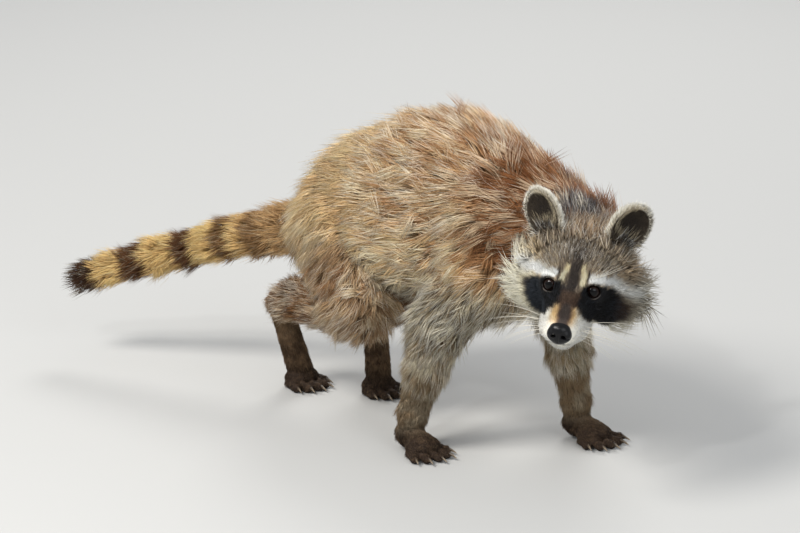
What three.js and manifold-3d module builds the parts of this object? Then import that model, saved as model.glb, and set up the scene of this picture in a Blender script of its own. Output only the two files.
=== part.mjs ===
// Raccoon, life size, standing in a slow stalking walk with the head turned to
// its right. Millimetres, +Z up, +X forward along the trunk, +Y to its left.
//
// The flesh is a smooth union of round cones and ellipsoids. Each of them also
// carries the depth of the coat that grows on it. The solids are the outer
// surface of that coat: closed tubes whose vertices are pushed out along rays
// from the middle of each limb until they meet the surface. They are then
// parted where a limb joins the body, with a gap that keeps neighbours clear.
import * as THREE from 'three';
import { mergeVertices } from 'three/addons/utils/BufferGeometryUtils.js';
import Module from 'manifold-3d';

const wasm = await Module();
wasm.setup();

// ---- driving dimensions ---------------------------------------------------
const GAP = 0.5;                   // clearance between neighbouring solids
const SMOOTH = 0.32;               // ripples smaller than this are left out
const EYE_RADIUS = 8.0;            // eyeball
const EYE_SPACING = 34.2;          // between the centres of the eyes
const EYE_BACK = -4.0, EYE_UP = 1.6;   // eye centres behind and above the face reference
const HEAD_AT = [252.2, -78.0, 189.6];   // midpoint between the eyes
const HEAD_YAW = -54.7, HEAD_PITCH = 8.8, HEAD_ROLL = -6.7;   // degrees
const NOSE_AT = [43.5, 0, -18.2], NOSE_RADII = [7.5, 10.2, 8.2];
const EAR_AT = [-50, 36.8, 43];    // middle of the left ear, in the head
const EAR_OUTER = [8, 18.5, 24], EAR_INNER = [7, 16, 21.5], EAR_HOLLOW = 4.6;
const EAR_UP = [-0.14, 0.42, 0.9], EAR_FACING = [0.9, 0.36, 0.0];
const TAIL_PATH = [[-126, -8, 158], [-178, -22, 146], [-238, -50, 128], [-298, -84, 106], [-360, -122, 80]];
const TAIL_RADII = [21, 15, 11.5, 9.5, 7];
const TAIL_COAT = [15, 13.5, 12.5, 12.5, 12];
const TOE_COUNT = 5;
const FORE = { toeLength: 25, toeRadius: 4.3, spread: 15, fan: 0.2 };
const HIND = { toeLength: 27, toeRadius: 4.5, spread: 15, fan: 0.14 };
const CLAW_LENGTH = 9, CLAW_RADIUS = 1.7;

// ---- the head's own frame: x to the nose, y to its left, z up --------------
const rad = THREE.MathUtils.degToRad;
const HEAD_TURN = new THREE.Matrix4().makeRotationZ(rad(HEAD_YAW))
  .multiply(new THREE.Matrix4().makeRotationY(rad(HEAD_PITCH)))
  .multiply(new THREE.Matrix4().makeRotationX(rad(HEAD_ROLL)));
const HEAD_FRAME = new THREE.Matrix4().setPosition(...HEAD_AT).multiply(HEAD_TURN);
const inHead = (x, y, z) => new THREE.Vector3(x, y, z).applyMatrix4(HEAD_FRAME).toArray();
const headDirection = (x, y, z) => new THREE.Vector3(x, y, z).transformDirection(HEAD_FRAME);
const STRAIGHT = new THREE.Matrix4();

// ---- flesh: what each form is, how softly it joins, and its coat -----------
const forms = [];
const cone = (part, a, ra, b, rb, blend, coat) => forms.push({
  part, a: new THREE.Vector3(...a), ra, ab: new THREE.Vector3(...b).sub(new THREE.Vector3(...a)), rb, blend, coat });
const egg = (part, centre, radii, blend, coat, turn = STRAIGHT) => forms.push({
  part, centre: new THREE.Vector3(...centre), radii, blend,
  coat: Array.isArray(coat) ? coat : [coat, coat, coat],
  back: turn.clone().transpose() });

// trunk and neck
cone('trunk', [-122, -8, 156], 26, [-90, -6, 171], 46, 20, 15);
egg('trunk', [-50, -3, 187], [76, 56, 64], 30, 17);
egg('trunk', [12, 0, 203], [80, 60, 73], 30, 18);
egg('trunk', [86, -2, 189], [58, 50, 62], 30, 18);
cone('trunk', [50, 0, 232], 38, [118, -2, 214], 34, 30, 17);
cone('neck', [110, -3, 200], 45, [188, -16, 200], 40, 25, 18);
egg('shoulder', [112, -42, 178], [34, 22, 44], 18, 15);
egg('shoulder', [124, 40, 180], [34, 22, 44], 18, 15);
// head: cranium, cheeks with their ruff, brows, whisker pads, muzzle and lower jaw
egg('head', inHead(-46, 0, 0), [50, 39, 33], 14, [6, 11, 11], HEAD_TURN);
for (const s of [-1, 1]) {
  egg('head', inHead(-34, s * 29, -14), [27, 22, 24], 14, [5, 19, 15], HEAD_TURN);
  egg('head', inHead(-12, s * 16, 7), [14, 12, 10], 8, 3, HEAD_TURN);
  egg('head', inHead(19, s * 9.5, -24), [17, 10.5, 10], 8, 3, HEAD_TURN);
}
cone('head', inHead(0, 0, -10), 22, inHead(33, 0, -19), 14, 10, 3);
cone('head', inHead(-22, 0, -33), 17, inHead(27, 0, -32), 8, 8, 4);
// tail
for (let i = 0; i < TAIL_PATH.length - 1; i++) {
  cone('tail', TAIL_PATH[i], TAIL_RADII[i], TAIL_PATH[i + 1], TAIL_RADII[i + 1], 8, TAIL_COAT[i]);
}
// limbs: [side, upper from, upper to, lower to, foot heel, foot ball]
const ARMS = {
  right: { shoulder: [116, -46, 172], elbow: [74, -64, 118], middle: [65, -72, 76], wrist: [56, -80, 34], heel: [54, -82, 14], ball: [76, -86, 9], out: -1 },
  left: { shoulder: [128, 44, 172], elbow: [104, 56, 118], middle: [116, 54, 77], wrist: [128, 52, 36], heel: [130, 52, 14], ball: [152, 52, 9], out: 1 },
};
const LEGS = {
  right: { hip: [-90, -32, 166], knee: [-46, -54, 112], shin: [-42, -56, 104], hock: [-140, -50, 90], heel: [-162, -50, 82], ball: [-152, -32, 11], out: -1 },
  left: { hip: [-90, 30, 166], knee: [-30, 44, 116], shin: [-26, 44, 108], hock: [-86, 18, 84], heel: [-101, 14, 76], ball: [-86, 6, 11], out: 1 },
};
for (const [side, m] of Object.entries(ARMS)) {
  cone(`upper_arm_${side}`, m.shoulder, 27, m.elbow, 19, 12, 13);
  cone(`forearm_${side}`, m.elbow, 18, m.middle, 14, 8, 9);
  cone(`forearm_${side}`, m.middle, 14, m.wrist, 10, 8, 5.5);
  cone(`forearm_${side}`, m.wrist, 10, m.heel, 10, 6, 4);
  cone(`forepaw_${side}`, m.heel, 10.5, m.ball, 11, 6, 2);
}
for (const [side, m] of Object.entries(LEGS)) {
  cone(`thigh_${side}`, m.hip, 44, m.knee, 26, 16, 13);
  cone(`shank_${side}`, m.shin, 22, m.hock, 12, 10, 11);
  cone(`shank_${side}`, m.hock, 12, m.heel, 9, 8, 4);
  cone(`hindpaw_${side}`, m.heel, 9, m.ball, 11, 6, 2.5);
}

// Distance to the coat of some of the parts, negative inside.
const q = new THREE.Vector3();
function formDistance(f, p) {
  if (f.radii) {
    q.copy(p).sub(f.centre).applyMatrix4(f.back);
    const r = f.radii.map((v, i) => v + f.coat[i]);
    const k0 = Math.hypot(q.x / r[0], q.y / r[1], q.z / r[2]);
    const k1 = Math.hypot(q.x / r[0] ** 2, q.y / r[1] ** 2, q.z / r[2] ** 2) + 1e-9;
    return k0 * (k0 - 1) / k1;
  }
  q.copy(p).sub(f.a);
  const t = THREE.MathUtils.clamp(q.dot(f.ab) / f.ab.lengthSq(), 0, 1);
  return q.addScaledVector(f.ab, -t).length() - (f.ra + t * (f.rb - f.ra)) - f.coat;
}
function coatDistance(parts, p) {
  let d = null;
  for (const f of forms) {
    if (!parts.includes(f.part)) continue;
    const v = formDistance(f, p);
    if (d === null) { d = v; continue; }
    const h = Math.max(f.blend - Math.abs(d - v), 0) / f.blend;
    d = Math.min(d, v) - h * h * f.blend / 4;
  }
  return d;
}

// ---- solids ----------------------------------------------------------------
function closed(geometry) {
  geometry.deleteAttribute('normal');
  geometry.deleteAttribute('uv');
  return mergeVertices(geometry, 1e-5);
}
function solid(geometry) {
  const g = closed(geometry);
  return new wasm.Manifold(new wasm.Mesh({
    numProp: 3,
    vertProperties: Float32Array.from(g.attributes.position.array),
    triVerts: Uint32Array.from(g.index.array) }));
}
// A closed tube round a curve, its vertices pushed out to the coat's surface.
function wrap(axis, around, along, parts, { grow = 0, up = [0, 0, 1], cap = 0.22 } = {}) {
  const curve = new THREE.CatmullRomCurve3(axis.map((p) => new THREE.Vector3(...p)));
  const g = closed(new THREE.SphereGeometry(1, around, along));
  const position = g.attributes.position;
  const v = new THREE.Vector3(), upward = new THREE.Vector3(...up);
  for (let i = 0; i < position.count; i++) {
    v.fromBufferAttribute(position, i);
    const level = Math.acos(THREE.MathUtils.clamp(v.y, -1, 1)) / Math.PI;
    const turn = Math.atan2(v.z, v.x);
    const s = THREE.MathUtils.clamp((level - cap) / (1 - 2 * cap), 0, 1);
    let lean = 0;
    if (level < cap) lean = -(1 - level / cap);
    if (level > 1 - cap) lean = (level - 1 + cap) / cap;
    const from = curve.getPointAt(s), tangent = curve.getTangentAt(s);
    const normal = upward.clone().addScaledVector(tangent, -upward.dot(tangent)).normalize();
    const side = new THREE.Vector3().crossVectors(tangent, normal);
    const way = normal.multiplyScalar(Math.cos(turn)).addScaledVector(side, Math.sin(turn))
      .multiplyScalar(Math.cos(lean * Math.PI / 2))
      .addScaledVector(tangent, Math.sin(lean * Math.PI / 2));
    let reach = 0;
    for (let n = 0; n < 80; n++) {
      const d = coatDistance(parts, v.copy(from).addScaledVector(way, reach)) - grow;
      reach -= d;
      if (Math.abs(d) < 0.002) break;
    }
    position.setXYZ(i, ...v.copy(from).addScaledVector(way, reach).toArray());
  }
  return solid(g);
}
// An ellipsoid, turned and placed.
function ball(centre, radii, around, along, turn = STRAIGHT, grow = 0) {
  const g = new THREE.SphereGeometry(1, around, along);
  g.scale(...radii.map((r) => r + grow));
  g.applyMatrix4(turn);
  g.translate(...centre);
  return solid(g);
}
// All space on the side of a plane that its normal points to.
function beyond(point, normal, offset = 0) {
  const n = new THREE.Vector3(...normal).normalize();
  const g = new THREE.BoxGeometry(2000, 2000, 2000);
  g.translate(0, 0, 1000 + offset);
  g.applyQuaternion(new THREE.Quaternion().setFromUnitVectors(new THREE.Vector3(0, 0, 1), n));
  g.translate(...point);
  return solid(g);
}
const between = (a, b, t) => a.map((v, i) => v + (b[i] - v) * t);
// The largest connected body, without slivers.
function main(manifold) {
  return manifold.simplify(SMOOTH).decompose().reduce((a, b) => (b.volume() > a.volume() ? b : a));
}

// torso from rump to throat, head from nape to nose, tail from root to tip
const torsoAxis = [[-112, -7, 160], [-60, -4, 188], [0, -1, 204], [70, -2, 200], [128, -5, 196], [182, -14, 198]];
const headAxis = [inHead(-62, 0, -4), inHead(-30, 0, -8), inHead(4, 0, -16), inHead(34, 0, -22)];
const torsoParts = ['trunk', 'neck', 'shoulder'];
const torso = wrap(torsoAxis, 24, 17, torsoParts);
const skull = wrap(headAxis, 26, 20, ['head'], { cap: 0.3 });
const tail = wrap([[-110, -6, 160], ...TAIL_PATH.slice(1, -1), between(TAIL_PATH[3], TAIL_PATH[4], 0.97)],
  12, 16, ['tail'], { cap: 0.12 });
const core = torso.add(skull).add(tail);

// planes that part the core: across the neck, the shoulders and the tail
const NAPE = { at: inHead(-72, 0, 0), normal: [0.86, -0.5, 0.0] };
const WITHERS = { at: [126, -4, 210], normal: [0.97, -0.1, -0.2] };
const TAIL_ROOT = { at: [-150, -14, 150], normal: [0.93, 0.27, 0.22] };
const TAIL_MIDDLE = { at: TAIL_PATH[2], normal: [0.86, 0.42, 0.3] };
const ahead = (plane) => beyond(plane.at, plane.normal, GAP / 2);
const behind = (plane) => beyond(plane.at, plane.normal.map((v) => -v), GAP / 2);

const nodes = {};
const grown = [];                  // limbs with their clearance, cut out of the trunk

// ---- paws ------------------------------------------------------------------
const floorUp = beyond([0, 0, 0], [0, 0, 1]);
function paw(name, heel, ballAt, size, side) {
  const forward = new THREE.Vector3(ballAt[0] - heel[0], ballAt[1] - heel[1], 0);
  if (forward.x < 1) forward.x = 20;
  forward.y *= 0.25;
  forward.normalize();
  const across = new THREE.Vector3(-forward.y, forward.x, 0);
  const toes = (grow) => {
    let joined = null;
    for (let i = 0; i < TOE_COUNT; i++) {
      const k = i - (TOE_COUNT - 1) / 2;
      const way = forward.clone().addScaledVector(across, k * size.fan).normalize();
      const length = size.toeLength * (1 - 0.09 * k * k + (k * side < -1.5 ? -0.12 : 0));
      const g = new THREE.CapsuleGeometry(size.toeRadius + grow, length, 2, 5);
      g.rotateZ(-Math.PI / 2);
      g.translate(length / 2, 0, 0);
      g.rotateZ(Math.atan2(way.y, way.x));
      const root = new THREE.Vector3(...ballAt).addScaledVector(across, k * size.spread / 2.2).addScaledVector(forward, -3);
      g.translate(root.x, root.y, size.toeRadius - 0.6);
      const s = solid(g);
      joined = joined ? joined.add(s) : s;
    }
    const pad = new THREE.SphereGeometry(1, 9, 5);
    pad.scale(15 + grow, size.spread + 2 + grow, 9.5 + grow);
    pad.rotateZ(Math.atan2(forward.y, forward.x));
    pad.translate(ballAt[0], ballAt[1], 8.4);
    return joined.add(solid(pad));
  };
  for (let i = 0; i < TOE_COUNT; i++) {
    const k = i - (TOE_COUNT - 1) / 2;
    const way = forward.clone().addScaledVector(across, k * size.fan).normalize();
    const length = size.toeLength * (1 - 0.09 * k * k + (k * side < -1.5 ? -0.12 : 0));
    const tip = new THREE.Vector3(...ballAt).addScaledVector(across, k * size.spread / 2.2)
      .addScaledVector(forward, -3).addScaledVector(way, length + size.toeRadius - 1.5);
    const g = new THREE.ConeGeometry(CLAW_RADIUS, CLAW_LENGTH + 3, 5, 2);
    g.translate(0, (CLAW_LENGTH + 3) / 2 - 3, 0);
    const p = g.attributes.position;           // the claw bends down to its point
    for (let n = 0; n < p.count; n++) p.setZ(n, p.getZ(n) + 0.022 * Math.max(p.getY(n), 0) ** 2);
    g.rotateX(Math.PI / 2);
    g.rotateY(Math.PI / 2);
    g.rotateX(Math.PI);
    g.rotateY(0);
    g.rotateZ(Math.atan2(way.y, way.x));
    g.translate(tip.x, tip.y, size.toeRadius + 0.6);
    nodes[`${name}_claw_${i + 1}`] = { cone: solid(g) };
  }
  return toes;
}
// ---- limbs -----------------------------------------------------------------
const cut = (body, tools) => tools.reduce((s, t) => s.subtract(t), body);
for (const [side, m] of Object.entries(ARMS)) {
  const plane = { at: [m.shoulder[0] - 4, m.out * 43, 166], normal: [-0.1, m.out * 0.85, -0.5] };
  const upper = (grow) => wrap([m.shoulder, m.elbow], 14, 10, [`upper_arm_${side}`], { grow, up: [1, 0, 0], cap: 0.3 })
    .intersect(beyond(plane.at, plane.normal, -grow));
  const lower = (grow) => wrap([m.elbow, m.middle, m.wrist, between(m.wrist, m.heel, 0.6)], 10, 10,
    [`forearm_${side}`], { grow, up: [1, 0, 0], cap: 0.2 });
  const toes = paw(`forepaw_${side}`, m.heel, m.ball, FORE, m.out);
  const palm = (grow) => wrap([m.heel, m.ball], 8, 6, [`forepaw_${side}`], { grow, cap: 0.3 }).add(toes(grow));
  nodes[`upper_arm_${side}`] = main(upper(0));
  nodes[`forearm_${side}`] = main(cut(lower(0), [upper(GAP)]));
  nodes[`forepaw_${side}`] = main(cut(palm(0), [lower(GAP)]).intersect(floorUp));
  for (let i = 1; i <= TOE_COUNT; i++) {
    const key = `forepaw_${side}_claw_${i}`;
    nodes[key] = main(nodes[key].cone.subtract(palm(GAP * 0.8)).intersect(floorUp));
  }
  grown.push(upper(GAP), lower(GAP));
}
for (const [side, m] of Object.entries(LEGS)) {
  const plane = { at: [m.hip[0] + 5, m.out * 37, 158], normal: [0.1, m.out * 0.85, -0.5] };
  const upper = (grow) => wrap([m.hip, between(m.hip, m.knee, 0.5), m.knee], 16, 12, [`thigh_${side}`], { grow, up: [1, 0, 0], cap: 0.3 })
    .intersect(beyond(plane.at, plane.normal, -grow));
  const lower = (grow) => wrap([m.shin, between(m.shin, m.hock, 0.5), m.hock, between(m.hock, m.heel, 0.8)], 11, 11,
    [`shank_${side}`], { grow, up: [0, 0, 1], cap: 0.2 });
  const toes = paw(`hindpaw_${side}`, [m.ball[0] - 30, m.ball[1], 0], m.ball, HIND, m.out);
  const sole = (grow) => wrap([m.heel, between(m.heel, m.ball, 0.5), m.ball], 8, 8, [`hindpaw_${side}`], { grow, up: [1, 0, 0], cap: 0.25 })
    .add(toes(grow));
  nodes[`thigh_${side}`] = main(upper(0));
  nodes[`shank_${side}`] = main(cut(lower(0), [upper(GAP)]));
  nodes[`hindpaw_${side}`] = main(cut(sole(0), [lower(GAP)]).intersect(floorUp));
  for (let i = 1; i <= TOE_COUNT; i++) {
    const key = `hindpaw_${side}_claw_${i}`;
    nodes[key] = main(nodes[key].cone.subtract(sole(GAP * 0.8)).intersect(floorUp));
  }
  grown.push(upper(GAP), lower(GAP));
}

// ---- eyes, nose and ears ----------------------------------------------------
const eyeAt = (s) => inHead(EYE_BACK, s * EYE_SPACING / 2, EYE_UP);
const sockets = [];
const sideName = { '-1': 'right', 1: 'left' };
for (const s of [-1, 1]) {
  nodes[`eye_${sideName[s]}`] = ball(eyeAt(s), [EYE_RADIUS, EYE_RADIUS, EYE_RADIUS], 10, 7, HEAD_TURN);
  const socket = new THREE.CylinderGeometry(10.5, 6.8, 26, 14);
  socket.translate(0, 13, 0);
  socket.applyQuaternion(new THREE.Quaternion().setFromUnitVectors(
    new THREE.Vector3(0, 1, 0), headDirection(0.94, s * 0.26, 0.22)));
  socket.translate(...eyeAt(s));
  sockets.push(ball(eyeAt(s), [EYE_RADIUS, EYE_RADIUS, EYE_RADIUS], 10, 7, HEAD_TURN, GAP), solid(socket));
}
nodes.nose = ball(inHead(...NOSE_AT), NOSE_RADII, 12, 7, HEAD_TURN);
sockets.push(ball(inHead(...NOSE_AT), NOSE_RADII, 12, 7, HEAD_TURN, GAP));

const skullGrown = wrap(headAxis, 26, 20, ['head'], { cap: 0.3, grow: GAP })
  .add(wrap(torsoAxis, 24, 17, torsoParts, { grow: GAP }));
for (const s of [-1, 1]) {
  const up = headDirection(EAR_UP[0], s * EAR_UP[1], EAR_UP[2]);
  const facing = headDirection(EAR_FACING[0], s * EAR_FACING[1], EAR_FACING[2]);
  facing.addScaledVector(up, -facing.dot(up)).normalize();
  const across = new THREE.Vector3().crossVectors(up, facing);
  const turn = new THREE.Matrix4().makeBasis(facing, across, up);
  const at = new THREE.Vector3(...inHead(EAR_AT[0], s * EAR_AT[1], EAR_AT[2]));
  const hollowAt = at.clone().addScaledVector(facing, EAR_HOLLOW);
  nodes[`ear_${sideName[s]}`] = main(ball(at.toArray(), EAR_OUTER, 11, 7, turn)
    .subtract(ball(hollowAt.toArray(), EAR_INNER, 11, 7, turn))
    .subtract(skullGrown));
}

// ---- trunk, neck, head and tail ---------------------------------------------
const body = cut(core, grown);
nodes.trunk = main(body.intersect(behind(WITHERS)).intersect(ahead(TAIL_ROOT)));
nodes.neck = main(body.intersect(ahead(WITHERS)).intersect(behind(NAPE)));
nodes.head = main(cut(body.intersect(ahead(NAPE)), sockets));
nodes.tail_base = main(body.intersect(behind(TAIL_ROOT)).intersect(ahead(TAIL_MIDDLE)));
nodes.tail_tip = main(body.intersect(behind(TAIL_ROOT)).intersect(behind(TAIL_MIDDLE)));

// ---- the scene graph ---------------------------------------------------------
const coat = { brown: 0x8a6d50, grey: 0x7d7468, dark: 0x3a2c22, tan: 0xa98a64 };
const look = (name) => {
  if (name.startsWith('eye')) return { color: 0x120c08, roughness: 0.08, metalness: 0 };
  if (name === 'nose') return { color: 0x0d0c0c, roughness: 0.35, metalness: 0 };
  if (name.includes('claw')) return { color: 0x2c241d, roughness: 0.4, metalness: 0 };
  if (name.includes('paw')) return { color: coat.dark, roughness: 0.8, metalness: 0 };
  if (name.startsWith('tail')) return { color: coat.tan, roughness: 0.95, metalness: 0 };
  if (/head|neck|ear/.test(name)) return { color: coat.grey, roughness: 0.95, metalness: 0 };
  return { color: coat.brown, roughness: 0.95, metalness: 0 };
};
const raccoon = new THREE.Group();
raccoon.name = 'raccoon';
for (const [name, manifold] of Object.entries(nodes)) {
  const m = manifold.getMesh();
  const g = new THREE.BufferGeometry();
  g.setAttribute('position', new THREE.BufferAttribute(Float32Array.from(m.vertProperties), 3));
  g.setIndex(new THREE.BufferAttribute(Uint32Array.from(m.triVerts), 1));
  g.computeVertexNormals();
  const mesh = new THREE.Mesh(g, new THREE.MeshStandardMaterial(look(name)));
  mesh.name = name;
  raccoon.add(mesh);
}
// the origin is on the floor, at the middle of the box round the animal
const box = new THREE.Box3().setFromObject(raccoon);
raccoon.position.set(-(box.min.x + box.max.x) / 2, -(box.min.y + box.max.y) / 2, -box.min.z);
export default raccoon;
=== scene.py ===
"""Raccoon, life size: skin, eyes, nose, claws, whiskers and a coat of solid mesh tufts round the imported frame."""
import math
import numpy as np
import bpy
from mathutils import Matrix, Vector


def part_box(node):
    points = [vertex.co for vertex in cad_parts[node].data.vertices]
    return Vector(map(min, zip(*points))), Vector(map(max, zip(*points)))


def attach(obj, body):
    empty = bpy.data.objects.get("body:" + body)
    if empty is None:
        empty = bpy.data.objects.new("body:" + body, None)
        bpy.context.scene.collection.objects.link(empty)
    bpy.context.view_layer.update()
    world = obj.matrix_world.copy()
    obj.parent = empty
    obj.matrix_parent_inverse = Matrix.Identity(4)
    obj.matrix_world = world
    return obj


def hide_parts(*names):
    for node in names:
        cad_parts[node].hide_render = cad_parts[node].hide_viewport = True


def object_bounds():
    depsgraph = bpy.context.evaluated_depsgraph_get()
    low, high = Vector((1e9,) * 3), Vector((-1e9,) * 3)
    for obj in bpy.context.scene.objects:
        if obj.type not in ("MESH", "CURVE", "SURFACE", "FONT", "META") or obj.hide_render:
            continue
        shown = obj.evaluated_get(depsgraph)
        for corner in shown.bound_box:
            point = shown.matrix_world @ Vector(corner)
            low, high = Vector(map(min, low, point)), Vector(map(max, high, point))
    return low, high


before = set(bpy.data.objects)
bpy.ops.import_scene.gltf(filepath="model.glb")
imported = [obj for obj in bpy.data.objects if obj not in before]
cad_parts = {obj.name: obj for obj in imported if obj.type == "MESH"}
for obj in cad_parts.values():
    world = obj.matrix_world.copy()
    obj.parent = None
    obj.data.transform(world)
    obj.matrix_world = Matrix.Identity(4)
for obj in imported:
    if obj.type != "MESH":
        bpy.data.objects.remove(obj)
CAD_BOUNDS = [list(v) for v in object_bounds()]

# =============================================================================================
# 1. The body: a smooth union of round cones and ellipsoids, in millimetres, in the frame in
#    which it was designed (z = 0 is the floor). Every form carries the depth of its coat, the
#    lie of its hair and the name of its region.
# =============================================================================================


def turn_matrix(yaw, pitch, roll):
    a, b, c = np.radians([yaw, pitch, roll])
    rz = np.array([[math.cos(a), -math.sin(a), 0], [math.sin(a), math.cos(a), 0], [0, 0, 1]])
    ry = np.array([[math.cos(b), 0, math.sin(b)], [0, 1, 0], [-math.sin(b), 0, math.cos(b)]])
    rx = np.array([[1, 0, 0], [0, math.cos(c), -math.sin(c)], [0, math.sin(c), math.cos(c)]])
    return rz @ ry @ rx


HEAD_AT = np.array([252.2, -78.0, 189.6])
HEAD_R = turn_matrix(-54.7, 8.8, -6.7)
EYE_RADIUS, EYE_HALF, EYE_BACK, EYE_UP = 8.0, 17.1, -4.0, 1.6
NOSE_AT, NOSE_RADII = (43.5, 0.0, -18.2), (7.5, 10.2, 8.2)
EAR_AT = np.array([-50, 36.8, 43.0])
EAR_OUTER, EAR_INNER, EAR_HOLLOW = (8, 18.5, 24), (7, 16, 21.5), 4.6
EAR_UP, EAR_FACING = (-0.14, 0.42, 0.9), (0.9, 0.36, 0.0)
TAIL_PATH = [(-126, -8, 158), (-178, -22, 146), (-238, -50, 128), (-298, -84, 106), (-360, -122, 80)]
TAIL_RADII = [21, 15, 11.5, 9.5, 7]
TAIL_COAT = [15, 13.5, 12.5, 12.5, 12]


def in_head(x, y, z):
    return HEAD_AT + HEAD_R @ np.array([x, y, z], float)


def head_local(p):
    return (np.asarray(p) - HEAD_AT) @ HEAD_R


def unit(v):
    v = np.asarray(v, float)
    return v / (np.linalg.norm(v, axis=-1, keepdims=True) + 1e-12)


FORMS = []


def cone(part, a, ra, b, rb, blend, coat, flow=None):
    a, b = np.array(a, float), np.array(b, float)
    FORMS.append(dict(part=part, kind="cone", a=a, ra=float(ra), b=b, rb=float(rb), blend=blend,
                      coat=np.full(3, float(coat)), flow=unit(b - a) if flow is None else unit(flow)))


def egg(part, centre, radii, blend, coat, turn=None, flow=(-1, 0, 0)):
    FORMS.append(dict(part=part, kind="egg", c=np.array(centre, float), r=np.array(radii, float), blend=blend,
                      coat=np.array(coat if isinstance(coat, (list, tuple)) else [coat] * 3, float),
                      turn=np.eye(3) if turn is None else turn, flow=unit(flow)))


def head_way(x, y, z):
    return HEAD_R @ np.array([x, y, z], float)


cone("trunk", (-122, -8, 156), 26, (-90, -6, 171), 46, 20, 15, (-1, -0.1, -0.45))
egg("trunk", (-50, -3, 187), (76, 56, 64), 30, 17, flow=(-1, 0, -0.3))
egg("trunk", (12, 0, 203), (80, 60, 73), 30, 18, flow=(-1, 0, -0.12))
egg("trunk", (86, -2, 189), (58, 50, 62), 30, 18, flow=(-1, 0, -0.25))
cone("trunk", (50, 0, 232), 38, (118, -2, 214), 34, 30, 17, (-1, 0, 0.05))
cone("neck", (110, -3, 200), 45, (188, -16, 200), 40, 25, 18, (-1, 0.1, -0.25))
egg("shoulder", (112, -42, 178), (34, 22, 44), 18, 15, flow=(-0.55, -0.1, -0.85))
egg("shoulder", (124, 40, 180), (34, 22, 44), 18, 15, flow=(-0.55, 0.1, -0.85))
egg("head", in_head(-46, 0, 0), (50, 39, 33), 14, [6, 11, 11], HEAD_R, head_way(-1, 0, 0.1))
for s in (-1, 1):
    egg("head", in_head(-34, s * 29, -14), (27, 22, 24), 14, [5, 19, 15], HEAD_R, head_way(-0.75, s * 0.6, -0.35))
    egg("head", in_head(-12, s * 16, 7), (14, 12, 10), 8, 3, HEAD_R, head_way(-0.8, s * 0.55, 0.35))
    egg("head", in_head(19, s * 9.5, -24), (17, 10.5, 10), 8, 3, HEAD_R, head_way(-0.85, s * 0.4, -0.3))
cone("head", in_head(0, 0, -10), 22, in_head(33, 0, -19), 14, 10, 3, head_way(-1, 0, 0.3))
cone("head", in_head(-22, 0, -33), 17, in_head(27, 0, -32), 8, 8, 4, head_way(-1, 0, -0.25))
for i in range(4):
    cone("tail", TAIL_PATH[i], TAIL_RADII[i], TAIL_PATH[i + 1], TAIL_RADII[i + 1], 8, TAIL_COAT[i])
ARMS = {
    "right": dict(shoulder=(116, -46, 172), elbow=(74, -64, 118), middle=(65, -72, 76), wrist=(56, -80, 34), heel=(54, -82, 14), ball=(76, -86, 9), out=-1),
    "left": dict(shoulder=(128, 44, 172), elbow=(104, 56, 118), middle=(116, 54, 77), wrist=(128, 52, 36), heel=(130, 52, 14), ball=(152, 52, 9), out=1),
}
LEGS = {
    "right": dict(hip=(-90, -32, 166), knee=(-46, -54, 112), shin=(-42, -56, 104), hock=(-140, -50, 90), heel=(-162, -50, 82), ball=(-152, -32, 11), out=-1),
    "left": dict(hip=(-90, 30, 166), knee=(-30, 44, 116), shin=(-26, 44, 108), hock=(-86, 18, 84), heel=(-101, 14, 76), ball=(-86, 6, 11), out=1),
}
for side, m in ARMS.items():
    cone("upper_arm_" + side, m["shoulder"], 27, m["elbow"], 19, 12, 13)
    cone("forearm_" + side, m["elbow"], 18, m["middle"], 14, 8, 9)
    cone("forearm_" + side, m["middle"], 14, m["wrist"], 10, 8, 5.5)
    cone("forearm_" + side, m["wrist"], 10, m["heel"], 10, 6, 4)
    cone("forepaw_" + side, m["heel"], 10.5, m["ball"], 11, 6, 2)
for side, m in LEGS.items():
    cone("thigh_" + side, m["hip"], 44, m["knee"], 26, 16, 13, (-0.35, 0, -0.9))
    cone("shank_" + side, m["shin"], 22, m["hock"], 12, 10, 11)
    cone("shank_" + side, m["hock"], 12, m["heel"], 9, 8, 4)
    cone("hindpaw_" + side, m["heel"], 9, m["ball"], 11, 6, 2.5)
FORE = dict(length=25, radius=4.3, spread=15, fan=0.2)
HIND = dict(length=27, radius=4.5, spread=15, fan=0.14)


def form_distance(f, p, coat=0.0):
    if f["kind"] == "cone":
        ab = f["b"] - f["a"]
        t = np.clip(((p - f["a"]) @ ab) / (ab @ ab), 0, 1)
        q = p - f["a"] - t[..., None] * ab
        return np.sqrt((q * q).sum(-1)) - (f["ra"] + t * (f["rb"] - f["ra"])) - coat * f["coat"][0]
    r = f["r"] + coat * f["coat"]
    q = (p - f["c"]) @ f["turn"]
    k0 = np.sqrt(((q / r) ** 2).sum(-1))
    k1 = np.sqrt(((q / (r * r)) ** 2).sum(-1)) + 1e-9
    return k0 * (k0 - 1) / k1


def smooth_min(a, b, k):
    h = np.maximum(k - np.abs(a - b), 0) / k
    return np.minimum(a, b) - h * h * k * 0.25


def smooth_max(a, b, k):
    return -smooth_min(-a, -b, k)


def body_field(p, coat=0.0):
    d = None
    for f in FORMS:
        v = form_distance(f, p, coat)
        d = v if d is None else smooth_min(d, v, f["blend"])
    return d

# =============================================================================================
# 2. Fine forms that only the skin has: ears, toes, eye sockets, mouth. Each is an operation on
#    the field with the box in which it matters.
# =============================================================================================
OPS = []


def add_op(fn, lo, hi, how, k):
    OPS.append(dict(fn=fn, lo=np.array(lo, float), hi=np.array(hi, float), how=how, k=k))


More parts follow.
